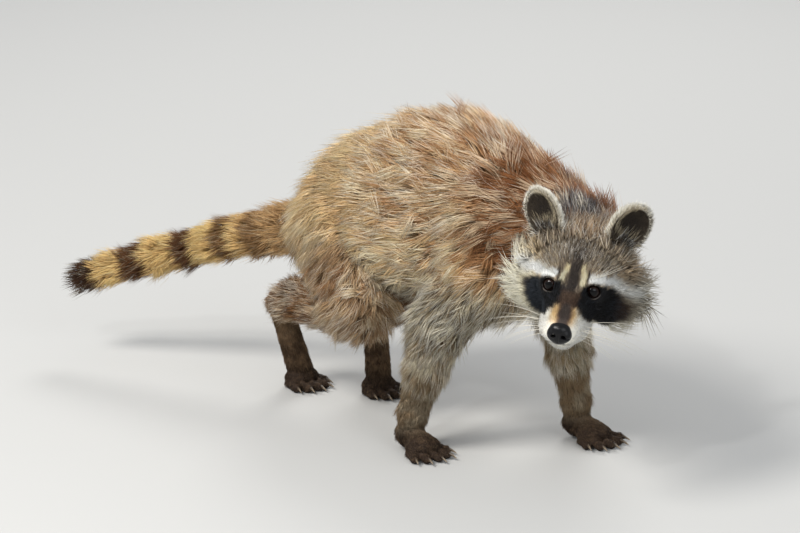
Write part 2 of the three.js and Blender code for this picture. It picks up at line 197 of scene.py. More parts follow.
for f in FORMS:
    if f["kind"] == "cone":
        lo = np.minimum(f["a"] - f["ra"], f["b"] - f["rb"])
        hi = np.maximum(f["a"] + f["ra"], f["b"] + f["rb"])
    else:
        ext = np.sqrt(((f["turn"] * f["r"]) ** 2).sum(1))
        lo, hi = f["c"] - ext, f["c"] + ext
    m = f["blend"] + 8.0
    add_op((lambda p, f=f: form_distance(f, p)), lo - m, hi + m, "join", f["blend"])


def capsule(p, a, b, ra, rb=None):
    rb = ra if rb is None else rb
    a, b = np.asarray(a, float), np.asarray(b, float)
    ab = b - a
    t = np.clip(((p - a) @ ab) / (ab @ ab), 0, 1)
    q = p - a - t[..., None] * ab
    return np.sqrt((q * q).sum(-1)) - (ra + t * (rb - ra))


def ellipsoid(p, c, r, turn=None):
    q = p - np.asarray(c, float)
    if turn is not None:
        q = q @ turn
    r = np.asarray(r, float)
    k0 = np.sqrt(((q / r) ** 2).sum(-1))
    k1 = np.sqrt(((q / (r * r)) ** 2).sum(-1)) + 1e-9
    return k0 * (k0 - 1) / k1


EARS = {}
for s in (-1, 1):
    up = unit(HEAD_R @ np.array([EAR_UP[0], s * EAR_UP[1], EAR_UP[2]]))
    facing = HEAD_R @ np.array([EAR_FACING[0], s * EAR_FACING[1], EAR_FACING[2]])
    facing = unit(facing - up * (facing @ up))
    across = np.cross(up, facing)
    turn = np.stack([facing, across, up], 1)
    at = in_head(EAR_AT[0], s * EAR_AT[1], EAR_AT[2])
    EARS[s] = dict(turn=turn, at=at, facing=facing, up=up, across=across)


def ear_field(p, s):
    e = EARS[s]
    outer = ellipsoid(p, e["at"], (6.9, 17.4, 22.9), e["turn"])
    inner = ellipsoid(p, e["at"] + e["facing"] * 5.4, (7.2, 15.7, 21.3), e["turn"])
    return smooth_max(outer, -inner, 1.2)


for s in (-1, 1):
    add_op((lambda p, s=s: ear_field(p, s)), EARS[s]["at"] - 32, EARS[s]["at"] + 32, "join", 5.0)

# toes: five capsules fanned from the ball of the foot, and a pad under it
TOES = []


def paw_frame(heel, ball):
    fwd = np.array([ball[0] - heel[0], ball[1] - heel[1], 0.0])
    if fwd[0] < 1:
        fwd[0] = 20
    fwd[1] *= 0.25
    fwd = unit(fwd)
    return fwd, np.array([-fwd[1], fwd[0], 0.0])


def make_paw(name, heel, ball, size, side):
    fwd, across = paw_frame(heel, ball)
    ball = np.array(ball, float)
    turn = np.stack([fwd, across, [0, 0, 1.0]], 1)
    c = np.array([ball[0], ball[1], 8.4])
    add_op((lambda p: ellipsoid(p, c, (14.3, size["spread"] + 1.3, 9.0), turn)), c - 26, c + 26, "join", 4.0)
    for i in range(5):
        k = i - 2
        way = unit(fwd + across * k * size["fan"])
        length = size["length"] * (1 - 0.09 * k * k + (-0.12 if k * side < -1.5 else 0))
        root = ball + across * k * size["spread"] / 2.2 - fwd * 3
        root[2] = size["radius"] - 0.6
        tip = root + way * length
        r = size["radius"] - 0.5
        mid = root + way * length * 0.5 + np.array([0, 0, 1.3])
        lo, hi = np.minimum(root, tip) - 12, np.maximum(root, tip) + 12
        add_op((lambda p, a=root, b=mid, r=r: capsule(p, a, b, r * 0.92, r * 0.86)), lo, hi, "join", 2.2)
        add_op((lambda p, a=mid, b=tip, r=r: capsule(p, a, b, r * 0.86, r)), lo, hi, "join", 1.6)
        # the claw's sheath above the toe's end
        add_op((lambda p, a=tip + [0, 0, 1.6], b=tip + way * 3.4 + [0, 0, 1.2]: capsule(p, a, b, 2.6, 1.7)), lo, hi + 4, "join", 1.6)
        TOES.append(dict(name="%s_claw_%d" % (name, i + 1), tip=tip, way=way, radius=r, paw=name))


for side, m in ARMS.items():
    make_paw("forepaw_" + side, m["heel"], m["ball"], FORE, m["out"])
for side, m in LEGS.items():
    make_paw("hindpaw_" + side, (m["ball"][0] - 30, m["ball"][1], 0), m["ball"], HIND, m["out"])

# face: sockets for the eyes, the seat of the nose, the line of the mouth
EYES = {s: in_head(EYE_BACK, s * EYE_HALF, EYE_UP) for s in (-1, 1)}
GAZE = {s: unit(HEAD_R @ np.array([0.94, s * 0.26, 0.22])) for s in (-1, 1)}
for s in (-1, 1):
    c, g = EYES[s], GAZE[s]
    add_op((lambda p, c=c: np.sqrt(((p - c) ** 2).sum(-1)) - (EYE_RADIUS + 1.9)), c - 14, c + 14, "join", 4.0)
    add_op((lambda p, c=c: np.sqrt(((p - c) ** 2).sum(-1)) - (EYE_RADIUS + 0.35)), c - 14, c + 14, "cut", 0.8)
    add_op((lambda p, c=c, g=g: capsule(p, c + g * 5, c + g * 22, 6.3, 10.2)), c - 30, c + 30, "cut", 1.6)
MOUTH = [in_head(41, 0, -30.5), in_head(36, 7, -31.5), in_head(27, 12, -32.5), in_head(14, 17.5, -31.5), in_head(4, 21.5, -27.5)]
for s in (-1, 1):
    pts = [MOUTH[0]] + [HEAD_AT + HEAD_R @ (head_local(q) * np.array([1, s, 1])) for q in MOUTH[1:]]
    for a, b in zip(pts[:-1], pts[1:]):
        add_op((lambda p, a=a, b=b: capsule(p, a, b, 0.9)), np.minimum(a, b) - 6, np.maximum(a, b) + 6, "cut", 2.4)
a, b = in_head(46, 0, -25), in_head(41.5, 0, -30)
add_op((lambda p, a=a, b=b: capsule(p, a, b, 0.6)), np.minimum(a, b) - 6, np.maximum(a, b) + 6, "cut", 2.0)


def combine(d, v, how, k):
    if how == "join":
        return smooth_min(d, v, k)
    return smooth_max(d, -v, k)


def skin_field(p):
    d = np.full(len(p), 60.0)
    for op in OPS:
        m = np.all((p > op["lo"]) & (p < op["hi"]), axis=1)
        if m.any():
            d[m] = combine(d[m], op["fn"](p[m]), op["how"], op["k"])
    return np.maximum(d, -p[:, 2])


def skin_normal(p, e=0.35):
    g = np.stack([skin_field(p + v) - skin_field(p - v) for v in np.eye(3) * e], 1)
    return unit(g)


def stations(*spans):
    out = [spans[0][0]]
    for a, b, h in spans:
        n = max(1, int(round((b - a) / h)))
        out += list(a + (b - a) * (np.arange(n) + 1) / n)
    return np.array(out)


def build_skin():
    """Surface nets on a grid that is finer round the head and the feet, then pulled onto the field."""
    xs = stations((-384, -175, 3.6), (-175, 176, 2.7), (176, 312, 1.65))
    ys = stations((-162, -12, 1.75), (-12, 94, 2.6))
    zs = stations((-2, 24, 1.8), (24, 122, 3.0), (122, 262, 1.75), (262, 292, 3.0))
    F = np.full((len(xs), len(ys), len(zs)), 60.0, np.float32)
    for op in OPS:
        i0, i1 = np.searchsorted(xs, [op["lo"][0], op["hi"][0]])
        j0, j1 = np.searchsorted(ys, [op["lo"][1], op["hi"][1]])
        k0, k1 = np.searchsorted(zs, [op["lo"][2], op["hi"][2]])
        if i0 >= i1 or j0 >= j1 or k0 >= k1:
            continue
        P = np.stack(np.meshgrid(xs[i0:i1], ys[j0:j1], zs[k0:k1], indexing="ij"), -1)
        F[i0:i1, j0:j1, k0:k1] = combine(F[i0:i1, j0:j1, k0:k1], op["fn"](P), op["how"], op["k"])
    F = np.maximum(F, -zs[None, None, :].astype(np.float32))
    V, Q = surface_nets(F, xs, ys, zs)
    for _ in range(3):
        d = skin_field(V)
        n = skin_normal(V)
        V = V - n * np.clip(d, -0.8, 0.8)[:, None]
        V[:, 2] = np.maximum(V[:, 2], 0.0)
    return V, Q


def surface_nets(F, xs, ys, zs):
    S = F < 0
    nx, ny, nz = F.shape
    corners = [(i, j, k) for i in (0, 1) for j in (0, 1) for k in (0, 1)]
    cnt = np.zeros((nx - 1, ny - 1, nz - 1), np.int8)
    for i, j, k in corners:
        cnt += S[i:nx - 1 + i, j:ny - 1 + j, k:nz - 1 + k]
    act = np.argwhere((cnt > 0) & (cnt < 8))
    ids = np.full(cnt.shape, -1, np.int32)
    ids[tuple(act.T)] = np.arange(len(act))
    X, Y, Z = act.T
    pos = np.zeros((len(act), 3))
    num = np.zeros(len(act))
    grid = (xs, ys, zs)
    for axis in range(3):
        o1, o2 = [a for a in range(3) if a != axis]
        for u in (0, 1):
            for w in (0, 1):
                c = [X, Y, Z]
                base = list(c)
                base[o1] = c[o1] + u
                base[o2] = c[o2] + w
                end = list(base)
                end[axis] = c[axis] + 1
                f0, f1 = F[tuple(base)], F[tuple(end)]
                m = (f0 < 0) != (f1 < 0)
                t = np.where(m, f0 / np.where(m, f0 - f1, 1), 0)
                q = np.stack([grid[n][base[n]] for n in range(3)], 1).astype(float)
                q[:, axis] += t * (grid[axis][end[axis]] - grid[axis][base[axis]])
                pos[m] += q[m]
                num += m
    V = pos / num[:, None]
    quads = []
    for axis in range(3):
        o1, o2 = [(1, 2), (2, 0), (0, 1)][axis]
        a = [slice(None)] * 3
        b = [slice(None)] * 3
        a[axis], b[axis] = slice(0, -1), slice(1, None)
        cross = S[tuple(a)] != S[tuple(b)]
        e = np.argwhere(cross)
        e = e[(e[:, o1] > 0) & (e[:, o2] > 0) & (e[:, o1] < F.shape[o1] - 1) & (e[:, o2] < F.shape[o2] - 1)]
        inside = S[tuple(e.T)]
        c = []
        for d1, d2 in ((-1, -1), (0, -1), (0, 0), (-1, 0)):
            g = e.copy()
            g[:, o1] += d1
            g[:, o2] += d2
            c.append(ids[tuple(g.T)])
        c = np.stack(c, 1)
        c[~inside] = c[~inside][:, ::-1]
        quads.append(c)
    return V, np.concatenate(quads)

# =============================================================================================
# 3. Markings: one function of place, used by the skin and by every tuft. Linear RGB.
# =============================================================================================


def srgb(r, g, b):
    c = np.array([r, g, b], float) / 255.0
    return np.where(c <= 0.04045, c / 12.92, ((c + 0.055) / 1.055) ** 2.4)


def step(a, b, x):
    t = np.clip((x - a) / (b - a), 0, 1)
    return t * t * (3 - 2 * t)


def waves(p, scale, seed, octaves=3):
    """A smooth, seeded, three-dimensional ripple between about -1 and 1."""
    rng = np.random.RandomState(seed)
    out, amp, tot = 0, 1.0, 0
    for o in range(octaves):
        for _ in range(3):
            k = unit(rng.normal(size=3)) * (2 * math.pi / scale) * (0.8 + 0.4 * rng.rand())
            out = out + amp * np.sin(p @ k + rng.rand() * 6.28 + 1.3 * np.sin(p @ (k[[1, 2, 0]] * 0.6) + rng.rand() * 6.28))
            tot += amp * 0.6
        scale, amp = scale * 0.47, amp * 0.6
    return out / tot


def mix(a, b, t):
    t = np.asarray(t)[..., None]
    return a * (1 - t) + b * t


def poly_distance(x, y, poly):
    """Signed distance to a closed outline, negative inside."""
    p = np.stack([x, y], -1)
    best = np.full(x.shape, 1e9)
    inside = np.zeros(x.shape, bool)
    n = len(poly)
    for i in range(n):
        a, b = np.array(poly[i], float), np.array(poly[(i + 1) % n], float)
        e = b - a
        w = p - a
        t = np.clip((w @ e) / (e @ e), 0, 1)
        q = w - t[..., None] * e
        best = np.minimum(best, (q * q).sum(-1))
        c = ((a[1] > p[..., 1]) != (b[1] > p[..., 1])) & (
            p[..., 0] < (b[0] - a[0]) * (p[..., 1] - a[1]) / (b[1] - a[1] + 1e-12) + a[0])
        inside ^= c
    return np.where(inside, -1, 1) * np.sqrt(best)


# outlines on each side of the face, seen along it: (distance from its middle, height)
MASK = {-1: [(-3, 6), (5, 8), (9, 9.4), (13, 10.2), (20, 9.4), (27, 6.2), (33, 2.4), (40, -0.8), (43.5, -3), (43.2, -7), (41.5, -11), (38.5, -18), (34.5, -25), (29, -30), (21, -31), (12, -24), (-3, -14)],
        1: [(-3, 6), (5, 7), (8, 6), (11.2, 8.2), (15, 9.6), (21, 9.6), (27.5, 6.8), (34, 1.6), (41, -3.8), (46, -9), (49.5, -14), (48, -21), (44.5, -27), (38, -31), (30, -34), (21, -32), (12, -25), (-3, -14)]}
BROW = {-1: [(12.2, 13.6), (15.4, 15.8), (23, 14.9), (30.8, 12.6), (38, 10.2), (46, 7.6), (53, 3), (51, -1.5), (44.4, 0.4), (37.4, 3.2), (28.1, 7.4), (21.7, 10.2), (14, 11.2)],
        1: [(13, 14.2), (16.6, 16.2), (24, 15), (34, 8.8), (44, 1.0), (52, -6), (58, -13), (55, -16), (49.6, -9.6), (43.4, -3.6), (37, 0.8), (28, 7.8), (22.2, 10.4), (15, 11.2)]}
STREAK = {-1: [(3.9, 18.6), (5.4, 20.2), (7.9, 17), (10.6, 13.4), (10.8, 9.8), (8.6, 8.0), (5.9, 11), (4.4, 15)],
          1: [(5.6, 17), (6.2, 19.6), (9.4, 18.8), (12.3, 15.2), (12.6, 11.2), (10.6, 7.6), (8.3, 8.2), (7.9, 12.4)]}

TAN = srgb(222, 182, 134)
TAN_LIGHT = srgb(238, 210, 168)
BROWN = srgb(176, 126, 88)
RUST = srgb(132, 84, 46)
DORSAL = srgb(116, 76, 50)
CREAM = srgb(240, 226, 196)
WHITE = srgb(240, 238, 230)
SILVER = srgb(206, 198, 174)
GREY = srgb(138, 132, 120)
# dark underfur near the skin; also used as painted shade at the knee and the back of the thigh
UNDERFUR_AND_SHADE = srgb(84, 64, 44)
BLACK = srgb(11, 11, 12)
RING_DARK = srgb(56, 35, 20)
RING_LIGHT = srgb(218, 176, 116)
FOOT = srgb(52, 39, 30)
# rings of the tail: distance from its tip, dark where the number is in a span
RINGS = [(-40, 26), (55, 81), (113, 133), (158, 175), (191, 211)]

TAIL_NODES = np.array(TAIL_PATH, float)
SEG = np.linalg.norm(np.diff(TAIL_NODES, axis=0), axis=1)
TAIL_LENGTH = SEG.sum() + 18


def tail_place(p):
    """Distance from the tail's tip along it, and distance from its axis."""
    best = np.full(len(p), 1e9)
    along = np.zeros(len(p))
    run = 0.0
    for i in range(4):
        a, b = TAIL_NODES[i], TAIL_NODES[i + 1]
        ab = b - a
        t = ((p - a) @ ab) / (ab @ ab)
        hi = 1.35 if i == 3 else 1.0
        t = np.clip(t, 0 if i else -0.6, hi)
        q = p - a - t[:, None] * ab
        d = np.sqrt((q * q).sum(1))
        m = d < best
        best[m] = d[m]
        along[m] = run + t[m] * SEG[i]
        run += SEG[i]
    return TAIL_LENGTH - along, best


def weights(p, soft=5.0):
    """How much each form of the body owns a point, from 0 to 1, one column per form."""
    D = np.stack([form_distance(f, p) for f in FORMS], 1)
    D = D - D.min(1, keepdims=True)
    W = np.exp(-D / soft)
    return W / W.sum(1, keepdims=True)


PARTS = sorted({f["part"] for f in FORMS})


def part_weight(W, *prefixes):
    m = np.array([f["part"].startswith(prefixes) for f in FORMS])
    return W[:, m].sum(1)


def face_markings(l, base):
    """Colours of the head from local coordinates: x to the nose, y left, z up."""
    x, y, z = l[:, 0], l[:, 1], l[:, 2]
    a = np.abs(y)
    mid_a = np.abs(y - 1.3)                    # the stripe down the middle leans to the left
    right_side = y < 0
    n = waves(l, 9, 5, 2) * 1.3
    n2 = waves(l, 3.5, 6, 1)
    # crown and cheeks: grizzled grey-brown, warmer and paler to the sides
    crown = mix(srgb(170, 154, 130), srgb(126, 112, 96), step(0.3, -0.5, n2))
    crown = mix(crown, srgb(176, 150, 116), step(30, 48, a) * step(-10, 10, z) * 0.55)
    # the right ruff is pale cream; the left one is painted darker and greyer, as painted shade on the side away from
    # the light
    ruff_r = mix(srgb(238, 228, 198), srgb(196, 168, 128), step(-4, 16, z) * 0.85)
    ruff_l = mix(srgb(160, 152, 134), srgb(120, 108, 92), step(-16, 10, z))
    ruff = np.where((y < 0)[:, None], ruff_r, ruff_l)
    c = mix(crown, ruff, step(12, -6, z - 0.15 * (a - 30) - np.where(y < 0, 13, 0)) * step(26, 42, a * 1.12 + 0.25 * np.maximum(-x - 20, 0)))
    c = mix(c, srgb(214, 208, 190), step(-24, -36, z) * step(-60, -30, x) * step(48, 34, a))
    c = mix(c, srgb(178, 138, 96), step(20, 6, a) * step(20, 30, z) * step(-30, -44, x) * 0.45)
    # forehead darkens towards the middle of the face
    c = mix(c, srgb(72, 64, 58), step(15, 5, a) * step(46, 24, z) * step(-44, -20, x) * 0.7)
    front = step(-46, -32, x)
    # muzzle: white sides and lips, tan upper corners, brown bridge
    seam = 27.0 - 1.9 * np.maximum(0, -12 - z)
    muz = step(-2.5, 3.0, x - seam + 1.6 * n) * step(8, 2, z)
    muz = np.maximum(muz, step(-30, -35, z) * step(-14, -2, x))
    side = mix(srgb(236, 232, 220), srgb(206, 172, 124), step(-17, -7, z + 0.7 * n) * step(15, 8, a + n))
    c = mix(c, side, muz)
    bridge = step(7.6, 4.2, mid_a + n * 0.6) * step(-17, -11, z + (x - 30) * 0.30)
    c = mix(c, mix(srgb(100, 80, 64), srgb(88, 68, 55), step(28, 40, x)), bridge * step(14, 22, x))
    # white brow, its inner streak, and the dark stripe between them
    d = np.where(right_side, poly_distance(a, z, BROW[-1]), poly_distance(a, z, BROW[1])) + n * 0.9
    fade = 1 + 1.4 * step(24, 48, a)
    c = mix(c, mix(srgb(238, 239, 234), srgb(200, 198, 188), step(26, 54, a) * 0.6), step(1.4 * fade, -1.4 * fade, d) * front)
    c = mix(c, srgb(58, 50, 46), step(1.6, 0.4, np.abs(a - np.where(right_side, 11.7, 13.2) - 0.10 * (z - 14))) * step(8, 11, z) * step(19, 16, z) * front)
    d = np.where(right_side, poly_distance(a, z, STREAK[-1]), poly_distance(a, z, STREAK[1])) + n * 0.7
    c = mix(c, mix(srgb(236, 222, 184), srgb(222, 190, 134), step(12, 22, z) * 0.6), step(1.1, -1.2, d) * front)
    stripe = step(5.0, 2.8, mid_a + n * 0.5) * step(33, 18, z) * step(-3, 6, z + 0.45 * (x - 12)) * front
    c = mix(c, srgb(58, 52, 49), stripe * 0.9)
    # black mask across the eyes, dark brown on the bridge between them and at its outer ends
    d = np.where(right_side, poly_distance(a, z, MASK[-1]), poly_distance(a, z, MASK[1])) + n * 1.1
    soft = 1.5 + 2.2 * step(26, 44, a) + 1.2 * step(-18, -28, z)
    m = step(soft, -soft, d) * step(-56, -44, x) * step(3.0, -2.5, x - seam + 1.6 * n)
    # painted sheen: on the right side the mask away from the eye is a lighter blue-grey
    black = mix(np.where(right_side[:, None], srgb(34, 38, 43), BLACK), BLACK, step(15, 9, np.hypot(a - 17, z - 2)))
    black = mix(black, mix(srgb(82, 66, 54), srgb(66, 50, 40), step(6, -2, z)), step(10.5, 5, mid_a + n) * step(-6, 4, x) * step(9, 4, z))
    black = mix(black, srgb(64, 46, 32), step(34, 47, a) * 0.75)
    c = mix(c, black, m)
    return c


def markings(p, W=None):
    """Base colour of coat and skin at points of the body, before any tuft's own variation."""
    W = weights(p) if W is None else W
    x, y, z = p.T
    n = waves(p, 60, 1, 3)
    n2 = waves(p, 22, 2, 2)
    # trunk: tan rump, browner back darker along the spine, cream patches on back and flank,
    # a rust band behind the head, silver below
    c = mix(TAN, BROWN, step(-70, 60, x + 25 * n) * 0.5)
    patch = step(-0.15, 0.75, n2 + 0.25 * n) * step(-50, 10, x)
    c = mix(c, TAN_LIGHT, patch * 0.65)
    c = mix(c, DORSAL, step(30, 8, np.abs(y + 2) + 6 * n2) * step(235, 265, z) * step(-40, 30, x) * (0.45 + 0.35 * n2))
    c = mix(c, c * np.array([0.84, 0.80, 0.76]), step(206, 236, z + 6 * n2) * step(-40, 20, x))
    c = mix(c, DORSAL, step(84, 112, x) * step(222, 246, z + 6 * n2) * 0.7)
    rust = step(100, 134, x + 12 * n2 + 0.25 * (z - 215)) * step(166, 196, z + 8 * n2)
    c = mix(c, mix(RUST, RUST * np.array([0.62, 0.52, 0.42]), step(-0.1, 0.9, waves(p, 17, 14, 2)) * 0.7), rust * 0.88)
    low = step(176, 132, z + 14 * n2 + 0.10 * x)
    c = mix(c, mix(SILVER, TAN_LIGHT, 0.55 + 0.3 * n2), low * 0.8)
    # painted shade: the belly is darkened for the shade beneath the body
    belly = step(138, 110, z) * part_weight(W, "trunk")
    c = mix(c, srgb(80, 66, 46), belly * 0.9)
    # painted shade: a dark patch in the crease between the haunch and the knee
    c = mix(c, UNDERFUR_AND_SHADE * 0.8, step(34, 12, np.sqrt((x + 58) ** 2 + (z - 139) ** 2 * 0.8 + (np.abs(y) - 80) ** 2 * 0.25) + 5 * n2) * 0.9)
    # painted shade: the rump under the root of the tail is darker and warmer
    c = mix(c, c * np.array([0.76, 0.70, 0.52]), step(-96, -126, x) * step(176, 150, z))
    c = mix(c, c * np.array([1.15, 1.14, 1.08]), step(206, 186, z) * step(128, 150, z) * step(-60, -10, x) * step(150, 120, x))
    # limbs
    arm = part_weight(W, "upper_arm", "forearm", "shoulder")
    c = mix(c, mix(srgb(146, 126, 96), SILVER, step(-0.4, 0.5, n2) * 0.75), arm * step(178, 140, z + 8 * n2))
    c = mix(c, srgb(112, 92, 70), arm * step(100, 40, z) * 0.7)
    thigh = part_weight(W, "thigh")
    c = mix(c, mix(TAN, BROWN, 0.4 + 0.4 * n2), thigh * step(175, 120, z) * 0.85)
    # painted shade: the back and underside of the thigh are darkened
    c = mix(c, UNDERFUR_AND_SHADE * 1.1, thigh * step(-86, -118, x) * step(166, 150, z) * 0.75)
    shank = part_weight(W, "shank")
    # the shank's own browns, made darker as painted shade low on the leg
    c = mix(c, mix(srgb(128, 88, 50), srgb(78, 50, 26), step(-0.3, 0.6, n2)), shank * 0.95)
    c = mix(c, srgb(140, 94, 70), shank * step(-144, -158, x) * 0.8)
    paw = part_weight(W, "forepaw", "hindpaw")
    c = mix(c, mix(srgb(112, 90, 68), srgb(78, 60, 44), step(-0.4, 0.5, n2 + 0.4 * waves(p, 9, 12, 1))), paw)
    # feet and toes: their own dark brown, darkest near the ground, where it also stands for painted shade
    c = mix(c, mix(FOOT, srgb(84, 66, 50), step(0.1, 0.8, waves(p, 8, 13, 2)) * 0.6), step(34, 12, z))
    # tail
    tail = part_weight(W, "tail") * step(-128, -146, x)
    r, _ = tail_place(p)
    r = r + 2.2 * waves(p, 13, 9, 2)
    dark = np.zeros(len(p))
    for lo, hi in RINGS:
        dark = np.maximum(dark, step(lo - 2.5, lo + 2.5, r) * step(hi + 2.5, hi - 2.5, r))
    dark = dark * (1 - 0.12 * step(130, 170, r) - 0.22 * step(180, 195, r))
    t = mix(RING_LIGHT * 1.05, TAN * np.array([0.60, 0.56, 0.49]), step(168, 216, r))
    t = mix(t, mix(RING_DARK, srgb(86, 56, 32), step(30, 60, r)), dark)
    c = mix(c, t, np.clip(tail, 0, 1))
    # head
    l = head_local(p)
    head = part_weight(W, "head")
    h = face_markings(l, c)
    c = mix(c, h, step(0.25, 0.75, head))
    nape = step(-62, -74, l[:, 0]) * step(-100, -90, l[:, 0]) * step(24, 34, l[:, 2]) * step(34, 24, np.abs(l[:, 1]))
    c = mix(c, srgb(98, 102, 106), nape * 0.88)
    # ears: pale rim, dark hollow, dark grizzled back
    for s in (-1, 1):
        e = EARS[s]
        q = (p - e["at"]) @ e["turn"]
        on = (np.abs(ear_field(p, s)) < 3.5) & (q[:, 2] > -17)
        rad = np.sqrt((q[:, 1] / 17.4) ** 2 + (q[:, 2] / 22.9) ** 2)
        inside = q[:, 0] > -6.9 * np.sqrt(np.maximum(0, 1 - np.minimum(rad, 1) ** 2)) + 1.2
        ec = np.where(inside[:, None], mix(srgb(60, 52, 42), srgb(34, 29, 24), step(0.75, 0.3, rad)), srgb(104, 94, 80))
        ec = mix(ec, mix(WHITE, CREAM, 0.55), step(0.86, 0.95, rad))
        c = np.where(on[:, None], ec, c)
    return np.clip(c, 0.004, 1)

# =============================================================================================
# 4. The coat: solid tapered tufts, three-sided, along the lie of the hair.
# =============================================================================================
RNG = np.random.RandomState(20240611)
HAIR_GAIN = 1.30                # makes up for the shade that tufts cast on each other


def lie_of_hair(p, W):
    d = W @ np.stack([f["flow"] for f in FORMS])
    return unit(d)


def ear_place(p, s):
    """Whether points are on an ear, how far out in its plane (1 at the edge), and if in the hollow."""
    e = EARS[s]
    q = (p - e["at"]) @ e["turn"]
    on = (np.abs(ear_field(p, s)) < 2.6) & (q[:, 2] > -15)
    rad = np.sqrt((q[:, 1] / 17.4) ** 2 + (q[:, 2] / 22.9) ** 2)
    hollow = q[:, 0] > -6.9 * np.sqrt(np.maximum(0, 1 - np.minimum(rad, 1) ** 2)) + 1.2
    return on, rad, hollow, q


def coat_profile(p, n, W, l):
    """For roots: height of the coat, length, width, lean above the skin, density wanted (per mm2)."""
    outer = -body_field(p, 1.0)
    head = part_weight(W, "head")
    tail = part_weight(W, "tail")
    paw = part_weight(W, "forepaw", "hindpaw")
    height = np.clip(outer, 1.2, 24)
    x, y, z = l.T
    a = np.abs(y)
    # short on the face, longest on the ruff and the tail
    face = head * step(-34, -18, x)
    height = np.where(face > 0.5, np.minimum(height, 2.6 + 9 * step(36, 56, a) + 2.0 * step(12, 26, z)), height)
    ruff = head * step(38, 50, a) * step(2, -12, z) * step(-62, -40, x) * step(10, -6, x)
    height = height + np.where(y < 0, 6.0, 0.0) * ruff
    muzzle = head * step(8, 20, x)
    height = height * (1 - muzzle) + muzzle * np.minimum(height, 1.9)
    near_eye = np.minimum(*[np.sqrt(((p - EYES[s]) ** 2).sum(1)) for s in (-1, 1)])
    height = np.where(near_eye < 17, np.minimum(height, 0.9 + 2.4 * step(9.5, 17, near_eye)), height)
    nose_d = np.sqrt((((l - np.array(NOSE_AT) - np.array([0, 0, -1.0])) / np.array([8.8, 11.2, 10.6])) ** 2).sum(1))
    height = np.where(nose_d < 1.9, np.minimum(height, 1.0 + 1.4 * np.clip(nose_d - 1.0, 0, 1)), height)
    height = height * (1 - paw) + paw * np.minimum(height, 1.5 + 1.6 * step(14, 34, p[:, 2]))
    height = np.where(p[:, 2] < 12, np.minimum(height, 1.25), height)
    ear = np.zeros(len(p), bool)
    inner = np.zeros(len(p), bool)
    for s in (-1, 1):
        on, rad, hollow, q = ear_place(p, s)
        ear |= on
        inner |= on & hollow & (rad < 0.88)
        height = np.where(on, np.where(rad > 0.86, 2.0, np.where(hollow, 1.3, 1.7)), height)
    lean = 0.50 + 0.10 * tail - 0.12 * muzzle
    lean = np.where(height < 4, 0.34, lean)
    length = height / np.sin(lean)
    width = np.clip(0.29 + 0.031 * height, 0.33, 0.86)
    density = np.clip(1.9 - 0.100 * height, 0.42, 1.55)
    density = np.where(height < 1.3, 1.2, density)
    density = np.where((paw > 0.5) & (p[:, 2] > 6), 2.0, density)
    density = np.where(ear & ~inner, 2.2, density)
    density = np.where(inner, 1.1, density)
    bald = (nose_d < 1.0) | (near_eye < EYE_RADIUS + 0.6) | (p[:, 2] < 3.0) | (n[:, 2] < -0.80) & (p[:, 2] < 12)
    density = np.where(bald, 0, density)
    return dict(height=height, length=length, width=width, lean=lean, density=density, ear=ear, inner=inner,
                face=face, muzzle=muzzle, tail=tail, paw=paw, head=head, ruff=ruff)


def scatter(V, Q, normals, budget):
    """Roots over the skin, in number by area and density, with their skin normals."""
    a, b, c, d = (V[Q[:, i]] for i in range(4))
    centre = (a + b + c + d) / 4
    area = 0.5 * (np.linalg.norm(np.cross(b - a, c - a), axis=1) + np.linalg.norm(np.cross(c - a, d - a), axis=1))
    W = weights(centre)
    n = unit(normals[Q].sum(1))
    prof = coat_profile(centre, n, W, head_local(centre))
    want = area * prof["density"]
    want *= budget / want.sum()
    # even spread: walk the faces in order and drop a root each time the running sum passes one
    run = np.cumsum(want) + RNG.rand()
    number = np.floor(run) - np.floor(np.concatenate([[run[0] - want[0]], run[:-1]]))
    number = number.astype(int)
    f = np.repeat(np.arange(len(Q)), number)
    u, v = RNG.rand(2, len(f))
    w0, w1, w2, w3 = (1 - u) * (1 - v), u * (1 - v), u * v, (1 - u) * v
    p = w0[:, None] * V[Q[f, 0]] + w1[:, None] * V[Q[f, 1]] + w2[:, None] * V[Q[f, 2]] + w3[:, None] * V[Q[f, 3]]
    nn = unit(w0[:, None] * normals[Q[f, 0]] + w1[:, None] * normals[Q[f, 1]] + w2[:, None] * normals[Q[f, 2]] + w3[:, None] * normals[Q[f, 3]])
    return p, nn


def nearest(points, centres, cell=14.0):
    """Index of the nearest centre for each point, by way of a grid of cells."""
    key = lambda q: np.floor(q / cell).astype(int)
    kc = key(centres)
    lo = kc.min(0) - 2
    dims = kc.max(0) - lo + 3
    flat = lambda k: ((k[:, 0] - lo[0]) * dims[1] + (k[:, 1] - lo[1])) * dims[2] + (k[:, 2] - lo[2])
    fc = flat(kc)
    order = np.argsort(fc, kind="stable")
    fs = fc[order]
    best = np.full(len(points), 1e18)
    idx = np.zeros(len(points), int)
    kp = key(points)
    for off in [(i, j, k) for i in (-1, 0, 1) for j in (-1, 0, 1) for k in (-1, 0, 1)]:
        f = flat(np.clip(kp + off, lo, lo + dims - 1))
        a, b = np.searchsorted(fs, f, "left"), np.searchsorted(fs, f, "right")
        for step_i in range(int((b - a).max()) if len(f) else 0):
            m = a + step_i < b
            if not m.any():
                break
            cand = order[(a + step_i)[m]]
            d = ((points[m] - centres[cand]) ** 2).sum(1)
            w = np.where(m)[0]
            better = d < best[w]
            best[w[better]] = d[better]
            idx[w[better]] = cand[better]
    return idx


